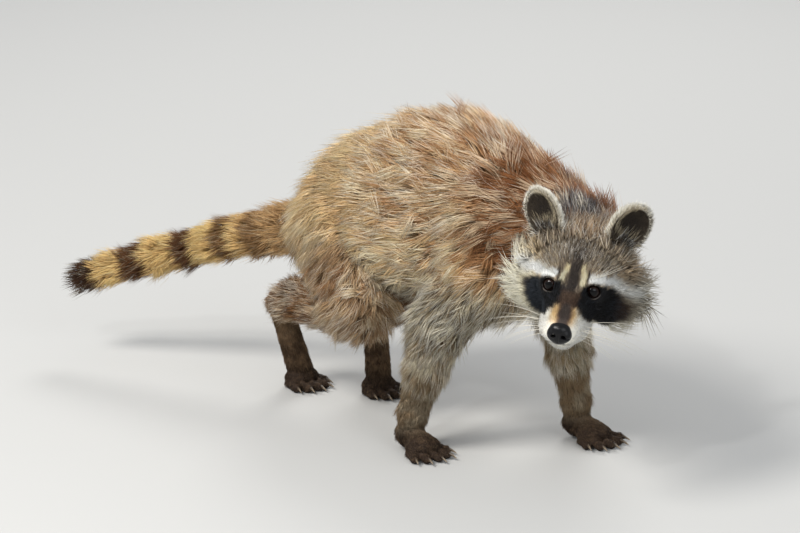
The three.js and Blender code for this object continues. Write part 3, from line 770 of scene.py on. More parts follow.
def grow_tufts(p, n):
    """Three rings of each tuft: root, bend and tip, with widths and colours."""
    N = len(p)
    W = weights(p)
    l = head_local(p)
    f = coat_profile(p, n, W, l)
    way = lie_of_hair(p, W)
    # ears: hair runs outward along the ear
    for s in (-1, 1):
        on, rad, hollow, q = ear_place(p, s)
        e = EARS[s]
        out = (q[:, 1:2] * e["across"] + q[:, 2:3] * e["up"]) / np.maximum(np.hypot(q[:, 1], q[:, 2]), 1)[:, None]
        way = np.where(on[:, None], unit(e["up"] + out * np.where(rad > 0.78, 1.2, 0.2)[:, None]), way)
    # the hair parts round the eyes and fans out over the cheek
    for s in (-1, 1):
        q = p - EYES[s]
        d = np.sqrt((q * q).sum(1))
        m = (f["head"] > 0.4) & (d < 20)
        t = (step(20, 9, d) * 0.75)[:, None]
        way = np.where(m[:, None], unit(way * (1 - t) + unit(q - (q * n).sum(1, keepdims=True) * n) * t), way)
    # locks: neighbours share a swing, a length and a tint
    centres = p[RNG.choice(N, N // 17, replace=False)]
    lock = nearest(p, centres)
    K = len(centres)
    swing = RNG.normal(size=(K, 3))
    lock_len = 1 + 0.16 * RNG.normal(size=K)
    lock_tint = RNG.normal(size=K)
    long_hair = np.clip((f["height"] - 5) / 10, 0, 1)
    # the rump and the rust collar lie smooth, the flank and the chest are tousled
    tidy = np.clip(step(-10, -50, p[:, 0]) * step(140, 165, p[:, 2]), 0, 1)
    loose = long_hair * (1 - 0.7 * tidy)
    way = unit(way + swing[lock] * (0.10 + 0.24 * loose)[:, None] + RNG.normal(size=(N, 3)) * (0.09 + 0.05 * loose)[:, None]
               + 0.30 * loose[:, None] * np.stack([waves(p, 48, 21 + i, 2) for i in range(3)], 1))
    way = unit(way - (way * n).sum(1, keepdims=True) * n)
    side = np.cross(n, way)
    u = RNG.rand(N)
    guard = RNG.rand(N) < np.where(f["height"] > 6, 0.42, 0.3)
    lean = f["lean"] * (0.80 + 0.38 * RNG.rand(N)) * np.where(guard, 1.0, 0.92) * (1 - 0.15 * tidy * long_hair)
    length = f["length"] * np.where(guard, 0.92 + 0.22 * u, 0.55 + 0.35 * u) * np.clip(lock_len[lock], 0.7, 1.3)
    wild = (RNG.rand(N) < 0.018) & (long_hair > 0.3) & guard & (f["head"] < 0.4)          # a few stray hairs stand out
    length = np.where(wild, length * 1.25, length)
    lean = np.where(wild, lean * 1.22, lean)
    # long pale hairs inside the ear, from its lower and inner margin
    margin = np.zeros(N)
    for s in (-1, 1):
        on, rad, hollow, q = ear_place(p, s)
        toward = q @ np.array([0, 1.0, 0]) * np.sign((HEAD_R.T @ EARS[s]["across"])[1]) * s
        margin = np.where(on & hollow, step(0.55, 0.85, rad) * step(4, -8, toward) + 0.5 * step(-4, -14, q[:, 2]), margin)
    inner_long = f["inner"] & (RNG.rand(N) < 0.85 * np.clip(margin, 0, 1))
    length = np.where(inner_long, 8 + 7 * u, length)
    lean = np.where(inner_long, 0.30, lean)
    width = f["width"] * np.where(guard, 0.80, 1.12) * (0.8 + 0.4 * RNG.rand(N))
    width = np.where(wild, width * 0.7, width)
    width = np.where(inner_long, width * 0.8, width)
    lean1 = lean * 1.25
    lean2 = lean * 0.62
    sink = np.minimum(0.8, 0.3 + 0.03 * f["height"])
    base = p - n * sink[:, None]
    s1 = length * 0.42
    mid = base + (way * np.cos(lean1)[:, None] + n * np.sin(lean1)[:, None]) * s1[:, None]
    curl = side * (RNG.normal(size=N) * 0.10)[:, None]
    end = mid + unit(way * np.cos(lean2)[:, None] + n * np.sin(lean2)[:, None] + curl) * (length - s1)[:, None]
    # tips of a lock draw together
    tipsum = np.zeros((K, 3))
    cnt = np.zeros(K)
    np.add.at(tipsum, lock, end)
    np.add.at(cnt, lock, 1)
    mean = tipsum / np.maximum(cnt, 1)[:, None]
    pull = (0.16 + 0.34 * loose)[:, None] * (1 - 0.72 * step(0.3, 0.7, f["head"]))[:, None]
    end = end + (mean[lock] - end) * pull * 0.9
    mid = mid + (mean[lock] - (way * (length * 0.5)[:, None]) - mid) * pull * 0.18
    floor_gap = 0.4
    mid[:, 2] = np.maximum(mid[:, 2], floor_gap)
    end[:, 2] = np.maximum(end[:, 2], floor_gap)
    col = tuft_colours(p, way, n, W, l, f, guard, lock_tint[lock], u, length, lean, inner_long, tidy, wild)
    return dict(base=base, mid=mid, end=end, width=width, side=side, n=n, col=col, f=f, root=p)


def tuft_colours(p, way, n, W, l, f, guard, tint, u, length, lean, inner_long, tidy, wild):
    N = len(p)
    # a mark shows where the middle of a hair lies, not where it is rooted
    seen = p + way * ((0.42 + 0.20 * f["tail"]) * length * np.cos(lean))[:, None] * np.where(f["ear"], 0, 1)[:, None]
    base = markings(seen)
    at_root = markings(p, W)
    base = np.where(f["ear"][:, None], at_root, base)
    long_hair = np.clip((f["height"] - 5) / 9, 0, 1)
    trunk = long_hair * np.where((f["tail"] < 0.5) & (f["head"] < 0.5), 1, 0)
    short = np.where(f["height"] < 4, 1.0, 0.0)
    vary = (0.07 + 0.07 * trunk * (1 - 0.7 * tidy)) * tint + (0.08 + 0.10 * short) * RNG.normal(size=N)
    body = base * np.exp(vary)[:, None]
    flank = trunk * (1 - 0.85 * tidy)
    band = tint + 0.9 * waves(p, 15, 41, 2)
    body = mix(body, mix(body, CREAM, 0.55) * 1.06, flank * step(0.2, 1.3, band) * 0.66)
    body = mix(body, body * np.array([0.60, 0.48, 0.38]), flank * step(-0.25, -1.4, band) * 0.66)
    # guard hairs: dark band, pale tip; wool: plain, deeper towards the skin
    rootc = mix(at_root * (0.62 * np.exp(vary))[:, None], UNDERFUR_AND_SHADE, 0.22 * long_hair)
    midc = body * np.where(guard, 0.84, 0.90 - 0.20 * flank)[:, None]
    cream_zone = np.clip(0.55 + 0.8 * waves(p, 26, 31, 2), 0.1, 1) * (1 - 0.85 * tidy)
    chance = 0.84 * cream_zone * (1 - 0.88 * step(100, 134, p[:, 0]) * step(160, 190, p[:, 2]))
    tip_pale = (RNG.rand(N) < chance) & guard & (trunk > 0.15)
    tip_dark = guard & ~tip_pale & (RNG.rand(N) < 0.14 + 0.24 * (1 - tidy)) & (trunk > 0.3)
    tip_grey = ~tip_pale & ~tip_dark & (RNG.rand(N) < 0.16 * tidy) & (trunk > 0.3)
    tipc = body * np.where(guard, 1.14, 1.10 - 0.18 * flank)[:, None]
    pale = mix(body * 1.30, srgb(247, 232, 212), 0.70)
    tipc = np.where(tip_pale[:, None], pale, tipc)
    midc = np.where(tip_pale[:, None], mix(midc, pale, 0.25), midc)
    tipc = np.where(tip_dark[:, None], body * 0.45, tipc)
    tipc = np.where(tip_grey[:, None], mix(body * 1.1, srgb(226, 214, 196), 0.7), tipc)
    on_tail = f["tail"] > 0.5
    r = RNG.rand(N)
    tipc = np.where((on_tail & (r < 0.16))[:, None], mix(body * 1.2, CREAM, 0.45), tipc)
    tipc = np.where((on_tail & (r > 0.80))[:, None], body * 0.55, tipc)
    midc = np.where((on_tail & (r > 0.90))[:, None], midc * 0.72, midc)
    # long light hairs hang over the chest and the upper arms, over darker wool
    z = p[:, 2]
    arm = np.clip(part_weight(W, "upper_arm", "shoulder") + part_weight(W, "trunk", "neck") * step(150, 120, z), 0, 1) * step(178, 150, z)
    silver = guard & (RNG.rand(N) < 0.56 * arm)
    tipc = np.where(silver[:, None], srgb(236, 234, 222), tipc)
    midc = np.where(silver[:, None], srgb(166, 156, 132), midc)
    wool = (~guard) & (arm > 0.4)
    midc = np.where(wool[:, None], midc * 0.50, midc)
    tipc = np.where(wool[:, None], tipc * 0.54, tipc)
    # grizzle of crown and cheeks: black and white hairs side by side
    griz = f["head"] * step(17, 27, l[:, 2] + 0.3 * np.abs(l[:, 1])) * step(10, -6, l[:, 0]) * np.where(f["ear"], 0, 1)
    griz = np.maximum(griz, 0.5 * f["ruff"] * np.where(l[:, 1] > 0, 1, 0.0))
    r = RNG.rand(N)
    tipc = np.where(((griz > 0.4) & (r < 0.34))[:, None], srgb(224, 218, 204), tipc)
    tipc = np.where(((griz > 0.4) & (r > 0.70))[:, None], srgb(40, 35, 32), tipc)
    midc = np.where(((griz > 0.4) & (r > 0.70))[:, None], midc * 0.6, midc)
    dark_face = (f["head"] > 0.4) & (base.sum(1) < 0.10) & ~f["ear"]
    sheen = dark_face & (RNG.rand(N) < 0.34)
    tipc = np.where(sheen[:, None], srgb(62, 66, 74), tipc)
    # a light frosting on the backs of the feet
    frost = (f["paw"] > 0.5) & (RNG.rand(N) < 0.20) & (n[:, 2] > -0.2)
    tipc = np.where(frost[:, None], srgb(150, 128, 100), tipc)
    # inside the ears
    hair = mix(srgb(184, 172, 146), srgb(118, 106, 86), (u * 0.9))
    for c_, k in ((rootc, 0.55), (midc, 0.85), (tipc, 1.0)):
        c_[inner_long] = hair[inner_long] * k
    dark_in = f["inner"] & ~inner_long
    for c_ in (rootc, midc, tipc):
        c_[dark_in] = srgb(48, 41, 34)
    col = np.stack([rootc, midc, tipc], 1) * HAIR_GAIN
    col = col / (1 + (col / 0.93) ** 4) ** 0.25
    return np.clip(col, 0.004, 0.93)


# ---- an unwrap of the skin's own shape, for the roots of the tufts --------------------------
CHARTS = {"trunk": (0.01, 0.01, 0.60, 0.48), "head": (0.01, 0.52, 0.52, 0.47), "tail": (0.55, 0.52, 0.43, 0.14),
          "arm_right": (0.64, 0.01, 0.16, 0.24), "arm_left": (0.82, 0.01, 0.16, 0.24),
          "leg_right": (0.64, 0.27, 0.16, 0.23), "leg_left": (0.82, 0.27, 0.16, 0.23),
          "ear_-1": (0.56, 0.70, 0.20, 0.27), "ear_1": (0.78, 0.70, 0.20, 0.27)}


def unwrap(p, W, ear_mask):
    """Cylinder-like charts round each region's own axis, packed side by side."""
    names = [f["part"] for f in FORMS]
    own = np.argmax(W, 1)
    region = np.empty(len(p), object)
    lut = []
    for nme in names:
        if nme in ("trunk", "neck", "shoulder"):
            lut.append("trunk")
        elif nme.startswith(("upper_arm", "forearm", "forepaw")):
            lut.append("arm_" + nme.split("_")[-1])
        elif nme.startswith(("thigh", "shank", "hindpaw")):
            lut.append("leg_" + nme.split("_")[-1])
        else:
            lut.append(nme)
    lut = np.array(lut, object)
    region = lut[own]
    uv = np.zeros((len(p), 2))

    def put(mask, name, a, b):
        x0, y0, w, h = CHARTS[name]
        uv[mask, 0] = x0 + w * np.clip(a, 0, 1)
        uv[mask, 1] = y0 + h * np.clip(b, 0, 1)

    m = region == "trunk"
    q = p[m]
    ang = np.arctan2(q[:, 1] + 3, -(q[:, 2] - 185)) / (2 * math.pi) + 0.5
    put(m, "trunk", (q[:, 0] + 170) / 400, ang)
    m = region == "head"
    q = head_local(p[m])
    r = np.sqrt(q[:, 1] ** 2 + (q[:, 2] + 12) ** 2 + 1e-6)
    depth = np.arctan2(r, q[:, 0] + 60) / 2.6
    th = np.arctan2(q[:, 1], q[:, 2] + 12)
    rr = np.clip(depth, 0, 1) * 0.5
    put(m, "head", 0.5 + rr * np.sin(th), 0.5 + rr * np.cos(th))
    m = region == "tail"
    t, _ = tail_place(p[m])
    i = np.clip(np.searchsorted(-TAIL_NODES[:, 0], -p[m][:, 0]) - 1, 0, 3)
    frac = (TAIL_NODES[i, 0] - p[m][:, 0]) / (TAIL_NODES[i, 0] - TAIL_NODES[i + 1, 0])
    ax = TAIL_NODES[i] + (TAIL_NODES[i + 1] - TAIL_NODES[i]) * frac[:, None]
    q = p[m] - ax
    put(m, "tail", t / 300, np.arctan2(q[:, 1], q[:, 2]) / (2 * math.pi) + 0.5)
    for side_name in ("right", "left"):
        for kind, table, keys in (("arm_", ARMS, ("shoulder", "elbow", "wrist", "ball")), ("leg_", LEGS, ("hip", "knee", "hock", "ball"))):
            m = region == kind + side_name
            q = p[m]
            nodes = np.array([table[side_name][k] for k in keys], float)
            best = np.full(len(q), 1e9)
            along = np.zeros(len(q))
            angle = np.zeros(len(q))
            for i in range(3):
                a, b = nodes[i], nodes[i + 1]
                ab = b - a
                t = np.clip(((q - a) @ ab) / (ab @ ab), -0.5 if i == 0 else 0, 1 if i < 2 else 2.2)
                d = q - a - t[:, None] * ab
                dist = np.sqrt((d * d).sum(1))
                e1 = unit(np.cross(ab, [0.3, 1, 0.1]))
                e2 = unit(np.cross(ab, e1))
                k = dist < best
                best[k] = dist[k]
                along[k] = (i + t[k] + 0.5) / 4.8
                angle[k] = (np.arctan2(d @ e1, d @ e2) / (2 * math.pi) + 0.5)[k]
            put(m, kind + side_name, along, angle)
    for s in (-1, 1):
        e = EARS[s]
        q = (p - e["at"]) @ e["turn"]
        m = ear_mask & (np.sqrt((q * q).sum(1)) < 34)
        back = q[m][:, 0] < -6.9 * np.sqrt(np.maximum(0, 1 - np.minimum(1, np.hypot(q[m][:, 1] / 17.4, q[m][:, 2] / 22.9)) ** 2)) + 1.2
        put(m, "ear_%d" % s, (q[m][:, 1] + 20) / 40 * 0.48 + np.where(back, 0.5, 0.0), (q[m][:, 2] + 26) / 52)
    return uv

# =============================================================================================
# 5. Into Blender
# =============================================================================================
NODES = sorted(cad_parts)
_lo, _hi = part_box("eye_left")
_e = np.array([(a + b) / 2 for a, b in zip(_lo, _hi)]) * 1000.0
SHIFT = _e - EYES[1]                      # from the design frame to the row's frame, in mm
SHIFT[2] = 0.0


def metres(p):
    return (np.asarray(p) + SHIFT) / 1000.0


def make_mesh(name, V, faces, corners, colours=None, smooth=True, uv=None, material=None, colour_name="Col"):
    me = bpy.data.meshes.new(name)
    V = metres(V).astype(np.float32)
    F = np.ascontiguousarray(faces, np.int32)
    me.vertices.add(len(V))
    me.vertices.foreach_set("co", V.ravel())
    me.loops.add(F.size)
    me.loops.foreach_set("vertex_index", F.ravel())
    me.polygons.add(len(F))
    me.polygons.foreach_set("loop_start", np.arange(0, F.size, corners, dtype=np.int32))
    me.polygons.foreach_set("loop_total", np.full(len(F), corners, np.int32))
    if smooth:
        me.polygons.foreach_set("use_smooth", np.ones(len(F), bool))
    if colours is not None:
        at = me.color_attributes.new(colour_name, "FLOAT_COLOR", "POINT")
        at.data.foreach_set("color", np.concatenate([colours, np.ones((len(V), 1))], 1).astype(np.float32).ravel())
    if uv is not None:
        layer = me.uv_layers.new(name="OFBake")
        layer.data.foreach_set("uv", np.ascontiguousarray(uv, np.float32).ravel())
    me.update(calc_edges=True)
    ob = bpy.data.objects.new(name, me)
    bpy.context.scene.collection.objects.link(ob)
    if material:
        me.materials.append(material)
    return ob


# ---- materials ------------------------------------------------------------------------------
def new_material(name, **values):
    m = bpy.data.materials.new(name)
    m.use_nodes = True
    b = m.node_tree.nodes["Principled BSDF"]
    for k, v in values.items():
        b.inputs[k.replace("_", " ")].default_value = v
    return m, m.node_tree, b


def tinted_attribute(nt, bsdf, scale, amount, detail=3.0):
    """Base colour from the mesh's own colours, varied a little by noise in object space."""
    at = nt.nodes.new("ShaderNodeAttribute")
    at.attribute_name = "Col"
    tc = nt.nodes.new("ShaderNodeTexCoord")
    no = nt.nodes.new("ShaderNodeTexNoise")
    no.inputs["Scale"].default_value = scale
    no.inputs["Detail"].default_value = detail
    nt.links.new(tc.outputs["Object"], no.inputs["Vector"])
    mr = nt.nodes.new("ShaderNodeMapRange")
    mr.inputs["To Min"].default_value = 1 - amount
    mr.inputs["To Max"].default_value = 1 + amount
    nt.links.new(no.outputs["Fac"], mr.inputs["Value"])
    mu = nt.nodes.new("ShaderNodeVectorMath")
    mu.operation = "SCALE"
    nt.links.new(at.outputs["Color"], mu.inputs[0])
    nt.links.new(mr.outputs["Result"], mu.inputs["Scale"])
    nt.links.new(mu.outputs["Vector"], bsdf.inputs["Base Color"])
    return no, tc


def bump(nt, bsdf, height_socket, strength, distance):
    bu = nt.nodes.new("ShaderNodeBump")
    bu.inputs["Strength"].default_value = strength
    bu.inputs["Distance"].default_value = distance
    nt.links.new(height_socket, bu.inputs["Height"])
    nt.links.new(bu.outputs["Normal"], bsdf.inputs["Normal"])


coat_mat, nt, b = new_material("coat_hair", Roughness=0.6, Specular_IOR_Level=0.2)
tinted_attribute(nt, b, 55, 0.16)
skin_mat, nt, b = new_material("skin_and_short_hair", Roughness=0.78, Specular_IOR_Level=0.25)
no, tc = tinted_attribute(nt, b, 260, 0.22)
bump(nt, b, no.outputs["Fac"], 0.5, 0.0008)

nose_mat, nt, b = new_material("nose_leather", Roughness=0.30, Specular_IOR_Level=0.24, Coat_Weight=0.10, Coat_Roughness=0.12)
tc = nt.nodes.new("ShaderNodeTexCoord")
vo = nt.nodes.new("ShaderNodeTexVoronoi")
vo.inputs["Scale"].default_value = 1900
nt.links.new(tc.outputs["Object"], vo.inputs["Vector"])
ra = nt.nodes.new("ShaderNodeValToRGB")
ra.color_ramp.elements[0].color = (*srgb(15, 14, 16), 1)
ra.color_ramp.elements[1].color = (*srgb(5, 5, 6), 1)
nt.links.new(vo.outputs["Distance"], ra.inputs["Fac"])
nt.links.new(ra.outputs["Color"], b.inputs["Base Color"])
bump(nt, b, vo.outputs["Distance"], 0.25, 0.00025)

eye_mat, nt, b = new_material("eye_wet", Roughness=0.05, Specular_IOR_Level=0.22, Coat_Weight=0.0)
tinted_attribute(nt, b, 900, 0.25)
lid_mat, nt, b = new_material("eyelid_skin", Roughness=0.42, Specular_IOR_Level=0.45)
no, tc = tinted_attribute(nt, b, 1400, 0.3)
bump(nt, b, no.outputs["Fac"], 0.4, 0.0003)
claw_mat, nt, b = new_material("claw_horn", Roughness=0.36, Specular_IOR_Level=0.5)
no, tc = tinted_attribute(nt, b, 700, 0.22)
bump(nt, b, no.outputs["Fac"], 0.3, 0.0002)
whisker_mat, nt, b = new_material("whisker_hair", Roughness=0.4, Specular_IOR_Level=0.45)
tinted_attribute(nt, b, 60, 0.08)

# ---- skin -----------------------------------------------------------------------------------
V, Q = build_skin()
NORMALS = skin_normal(V)
W = weights(V)
skin_col = markings(V, W)
l = head_local(V)
# bare or nearly bare places: soles, toes' undersides, lips, the inside of the ears
sole = step(4.5, 0.5, V[:, 2])
skin_col = mix(skin_col, srgb(34, 27, 24), sole)
# painted shade: the skin is darkened where the coat over it is deep
skin_col = mix(skin_col, skin_col * 0.74, step(4, 10, -body_field(V, 1.0)))
mouth_d = np.min([capsule(V, a, b, 0.9) for s in (-1, 1) for a, b in zip(
    [HEAD_AT + HEAD_R @ (head_local(q) * np.array([1, s, 1])) for q in MOUTH[:-1]],
    [HEAD_AT + HEAD_R @ (head_local(q) * np.array([1, s, 1])) for q in MOUTH[1:]])], axis=0)
skin_col = mix(skin_col, srgb(30, 22, 22), step(1.6, 0.2, mouth_d))
near = np.minimum(*[np.sqrt(((V - EYES[s]) ** 2).sum(1)) for s in (-1, 1)])
skin_col = mix(skin_col, BLACK, step(12.5, 10.5, near))
skin = make_mesh("skin", V, Q, 4, skin_col, material=skin_mat)
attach(skin, "root")
FLESH = [n for n in NODES if not n.startswith(("eye", "nose")) and "claw" not in n]
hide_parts(*FLESH)

# ---- eyes and lids --------------------------------------------------------------------------
side_of = {-1: "right", 1: "left"}
for s in (-1, 1):
    c, g = EYES[s], GAZE[s]
    upward = unit(HEAD_R @ np.array([0, 0, 1.0]) - g * (HEAD_R @ np.array([0, 0, 1.0]) @ g))
    outward = np.cross(upward, g) * 1.0
    if outward @ (HEAD_R @ np.array([0, s, 0.0])) < 0:
        outward = -outward
    nu, nv = 64, 40
    th = np.linspace(0, math.pi, nv + 1)[1:-1]
    ph = np.linspace(0, 2 * math.pi, nu, endpoint=False)
    T_, P_ = np.meshgrid(th, ph, indexing="ij")
    # the cornea stands a little proud of the ball
    rad = EYE_RADIUS + 0.55 * np.exp(-(T_ / 0.62) ** 4)
    dirs = (np.cos(T_)[..., None] * g + np.sin(T_)[..., None] * (np.cos(P_)[..., None] * outward + np.sin(P_)[..., None] * upward))
    pts = (c + dirs * rad[..., None]).reshape(-1, 3)
    pts = np.concatenate([pts, [c + g * (EYE_RADIUS + 0.55)], [c - g * EYE_RADIUS]])
    tri = []
    for i in range(nv - 2):
        for j in range(nu):
            a, b2 = i * nu + j, i * nu + (j + 1) % nu
            tri += [(a, a + nu, b2), (b2, a + nu, b2 + nu)]
    for j in range(nu):
        tri.append((len(pts) - 2, j, (j + 1) % nu))
        tri.append((len(pts) - 1, (nv - 2) * nu + (j + 1) % nu, (nv - 2) * nu + j))
    tri = np.array(tri)
    d = unit(pts - c)
    ang = np.arccos(np.clip(d @ g, -1, 1)) * EYE_RADIUS
    col = mix(srgb(3, 2, 2), srgb(28, 16, 10), step(2.9, 3.6, ang))
    col = mix(col, srgb(12, 9, 8), step(5.0, 6.0, ang))
    col = mix(col, srgb(96, 80, 70), step(6.9, 8.5, ang))
    # orientation: outward faces
    nrm = np.cross(pts[tri[:, 1]] - pts[tri[:, 0]], pts[tri[:, 2]] - pts[tri[:, 0]])
    if (nrm * (pts[tri].mean(1) - c)).sum() < 0:
        tri = tri[:, ::-1]
    eye = make_mesh("eyeball_" + side_of[s], pts, tri, 3, col, material=eye_mat)
    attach(eye, "root")
    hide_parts("eye_" + side_of[s])
    # lids: a closed band round an almond opening
    nt_ = 72
    t = np.linspace(0, 2 * math.pi, nt_, endpoint=False)
    ax = 0.82 * np.cos(t)
    ay = np.where(np.sin(t) > 0, 0.70, 0.64) * np.sign(np.sin(t)) * np.abs(np.sin(t)) ** 1.12
    section = [(0.97, 0.62), (0.985, 1.05), (1.04, 1.45), (1.16, 1.75), (1.34, 1.9), (1.58, 1.3), (1.62, 0.3), (1.3, 0.62)]
    rows = []
    for k, (sc, dr) in enumerate(section):
        wob = 0.10 * np.sin(t * 9 + s) * (1 if 2 <= k <= 4 else 0)
        q = np.clip(np.hypot(ax, ay) * sc, 0, 0.995)
        f_ = q / np.maximum(np.hypot(ax, ay), 1e-6)
        zz = np.sqrt(1 - q * q)
        dd = zz[:, None] * g + (ax * f_)[:, None] * outward + (ay * f_)[:, None] * upward
        # the upper lid hoods the eye a little
        hood = 0.35 * np.clip(np.sin(t), 0, 1) * (1 if 2 <= k <= 4 else 0)
        rows.append(c + dd * (EYE_RADIUS + dr + wob + hood)[:, None])
    L = np.concatenate(rows)
    m_ = len(section)
    quads = []
    for k in range(m_):
        for j in range(nt_):
            a, b2 = k * nt_ + j, k * nt_ + (j + 1) % nt_
            c2, d2 = ((k + 1) % m_) * nt_ + (j + 1) % nt_, ((k + 1) % m_) * nt_ + j
            quads.append((a, b2, c2, d2))
    quads = np.array(quads)
    cen = L.reshape(m_, nt_, 3).mean(0)
    mid_ = cen[np.arange(len(quads)) % nt_]
    nq = np.cross(L[quads[:, 1]] - L[quads[:, 0]], L[quads[:, 2]] - L[quads[:, 0]])
    if (nq * (L[quads].mean(1) - mid_)).sum() < 0:
        quads = quads[:, ::-1]
    lc = np.tile(srgb(20, 17, 16), (len(L), 1))
    rim = np.repeat(np.array([0.0, 0.5, 1.0, 0.25, 0, 0, 0, 0]), nt_) * np.tile(step(0.1, -0.5, np.sin(t)), m_)
    lc = mix(lc, srgb(112, 100, 90), rim * 0.45)
    lid = make_mesh("eyelids_" + side_of[s], L, quads, 4, lc, material=lid_mat)
    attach(lid, "root")

# ---- nose -----------------------------------------------------------------------------------
def nose_field(p):
    q = (p - in_head(*NOSE_AT)) @ HEAD_R
    d = ellipsoid(q, (0.2, 0, -1.8), (7.6, 9.8, 9.2))
    d = smooth_min(d, ellipsoid(q, (-1.0, 0, 3.8), (6.4, 8.0, 4.2)), 3)
    for s in (-1, 1):
        d = smooth_min(d, ellipsoid(q, (1.2, s * 6.4, -1.6), (4.9, 3.9, 4.8)), 2.2)
        d = smooth_max(d, -capsule(q, (7.8, s * 3.5, -1.2), (3.0, s * 5.2, -1.6), 1.7, 1.4), 0.9)
        d = smooth_max(d, -capsule(q, (6.4, s * 4.8, -2.0), (4.0, s * 10.4, -3.8), 1.15, 0.7), 0.9)
    d = smooth_max(d, -capsule(q, (8.4, 0, 0.5), (6.0, 0, -10.0), 0.6, 0.8), 0.9)
    d = smooth_min(d, capsule(q, (-3, 0, -1), (-8, 0, -1.5), 6.5, 6.0), 3)
    return d


c0 = in_head(*NOSE_AT)
gx = [np.arange(c0[i] - 16, c0[i] + 16, 0.55) for i in range(3)]
G = np.stack(np.meshgrid(*gx, indexing="ij"), -1)
NV, NQ = surface_nets(nose_field(G), *gx)
for _ in range(3):
    gr = np.stack([nose_field(NV + v) - nose_field(NV - v) for v in np.eye(3) * 0.2], 1)
    NV = NV - unit(gr) * np.clip(nose_field(NV), -0.3, 0.3)[:, None]
nose = make_mesh("nose_pad", NV, NQ, 4, material=nose_mat)
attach(nose, "root")
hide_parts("nose")

# ---- claws ----------------------------------------------------------------------------------
CV, CQ, CC, off = [], [], [], 0
for toe in TOES:
    way = toe["way"]
    across = np.array([-way[1], way[0], 0.0])
    base = toe["tip"] + way * 1.2 + np.array([0, 0, 1.2])
    rings, around = 9, 10
    for i in range(rings):
        t = i / (rings - 1)
        reach = 1.0 + 9.2 * t
        drop = 2.6 * t * t
        cen = base + way * reach + np.array([0, 0, -drop + 0.4])
        r = 1.75 * (1 - t) ** 0.72 + 0.12
        for j in range(around):
            a = 2 * math.pi * j / around
            CV.append(cen + across * math.cos(a) * r * 0.72 + np.array([0, 0, 1.0]) * math.sin(a) * r)
            CC.append(mix(srgb(46, 36, 28), srgb(150, 132, 108), np.array(t ** 1.6)))
    for i in range(rings - 1):
        for j in range(around):
            a, b2 = off + i * around + j, off + i * around + (j + 1) % around
            CQ.append((a, b2, b2 + around, a + around))
    # caps, as fans of quads folded onto a middle point
    for ring, flip in ((0, True), (rings - 1, False)):
        idx = [off + ring * around + j for j in range(around)]
        for j in range(0, around - 2, 2):
            quad = (idx[0], idx[j + 1], idx[j + 2], idx[j + 3]) if j + 3 < around else (idx[0], idx[j + 1], idx[j + 2], idx[j + 2])
            if len(set(quad)) == 4:
                CQ.append(quad[::-1] if flip else quad)
    off += rings * around
CV, CQ, CC = np.array(CV), np.array(CQ), np.array(CC)
CV[:, 2] = np.maximum(CV[:, 2], 0.3)
claws = make_mesh("claws", CV, CQ[:, ::-1], 4, CC, material=claw_mat)
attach(claws, "root")
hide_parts(*[n for n in NODES if "claw" in n])


# ---- hairs as solid tapered rods ---------------------------------------------------------------
def rods(paths, radii, colours, around=5):
    """Closed tapered rods along paths of K points each: arrays (N, K, 3), (N, K), (N, K, 3)."""
    N, K, _ = paths.shape
    tan = np.gradient(paths, axis=1)
    tan = unit(tan)
    ref = np.array([0.3, 0.2, 0.93])
    a1 = unit(np.cross(tan, ref))
    a2 = np.cross(tan, a1)
    ang = np.arange(around) * 2 * math.pi / around
    ring = paths[:, :, None] + radii[:, :, None, None] * (np.cos(ang)[:, None] * a1[:, :, None] + np.sin(ang)[:, None] * a2[:, :, None])
    V = ring.reshape(-1, 3)
    C = np.repeat(colours.reshape(-1, 3), around, 0)
    i = np.arange(N)[:, None, None] * K * around
    k = np.arange(K - 1)[None, :, None] * around
    j = np.arange(around)[None, None, :]
    j2 = (j + 1) % around
    a, b_, c_, d_ = i + k + j, i + k + j2, i + k + around + j2, i + k + around + j
    T1 = np.stack([a, b_, c_], -1).reshape(-1, 3)
    T2 = np.stack([a, c_, d_], -1).reshape(-1, 3)
    caps = []
    base = np.arange(N) * K * around
    for m in range(1, around - 1):
        caps.append(np.stack([base, base + m + 1, base + m], 1))
        e = base + (K - 1) * around
        caps.append(np.stack([e, e + m, e + m + 1], 1))
    return V, np.concatenate([T1, T2] + caps), C


wr = np.random.RandomState(7)
paths, radii, cols = [], [], []
for s in (-1, 1):
    for i in range(12):
        row, colm = i // 4, i % 4
        root = np.array([34 - 4.2 * colm + wr.normal() * 0.6, s * (12.6 + 0.9 * colm), -19.5 - 2.6 * row + 0.3 * colm])
        world = HEAD_AT + HEAD_R @ root
        n_ = skin_normal(world[None])[0]
        world = world - n_ * (skin_field(world[None])[0] + 0.8)
        lng = (34 + 5.5 * colm + wr.rand() * 12) * (1.0 if row < 2 else 0.75)
        d0 = unit(np.array([0.22 - 0.16 * colm, s * 1.0, 0.10 - 0.16 * row + wr.normal() * 0.07]))
        k = np.linspace(0, 1, 9)
        pth = np.array([world + HEAD_R @ (d0 * kk * lng + np.array([-0.42, 0, -0.50]) * lng * kk * kk * 0.8) for kk in k])
        paths.append(pth)
        radii.append(0.17 * (1 - k) ** 0.8 + 0.045)
        cols.append(np.tile(srgb(214, 208, 194), (9, 1)))
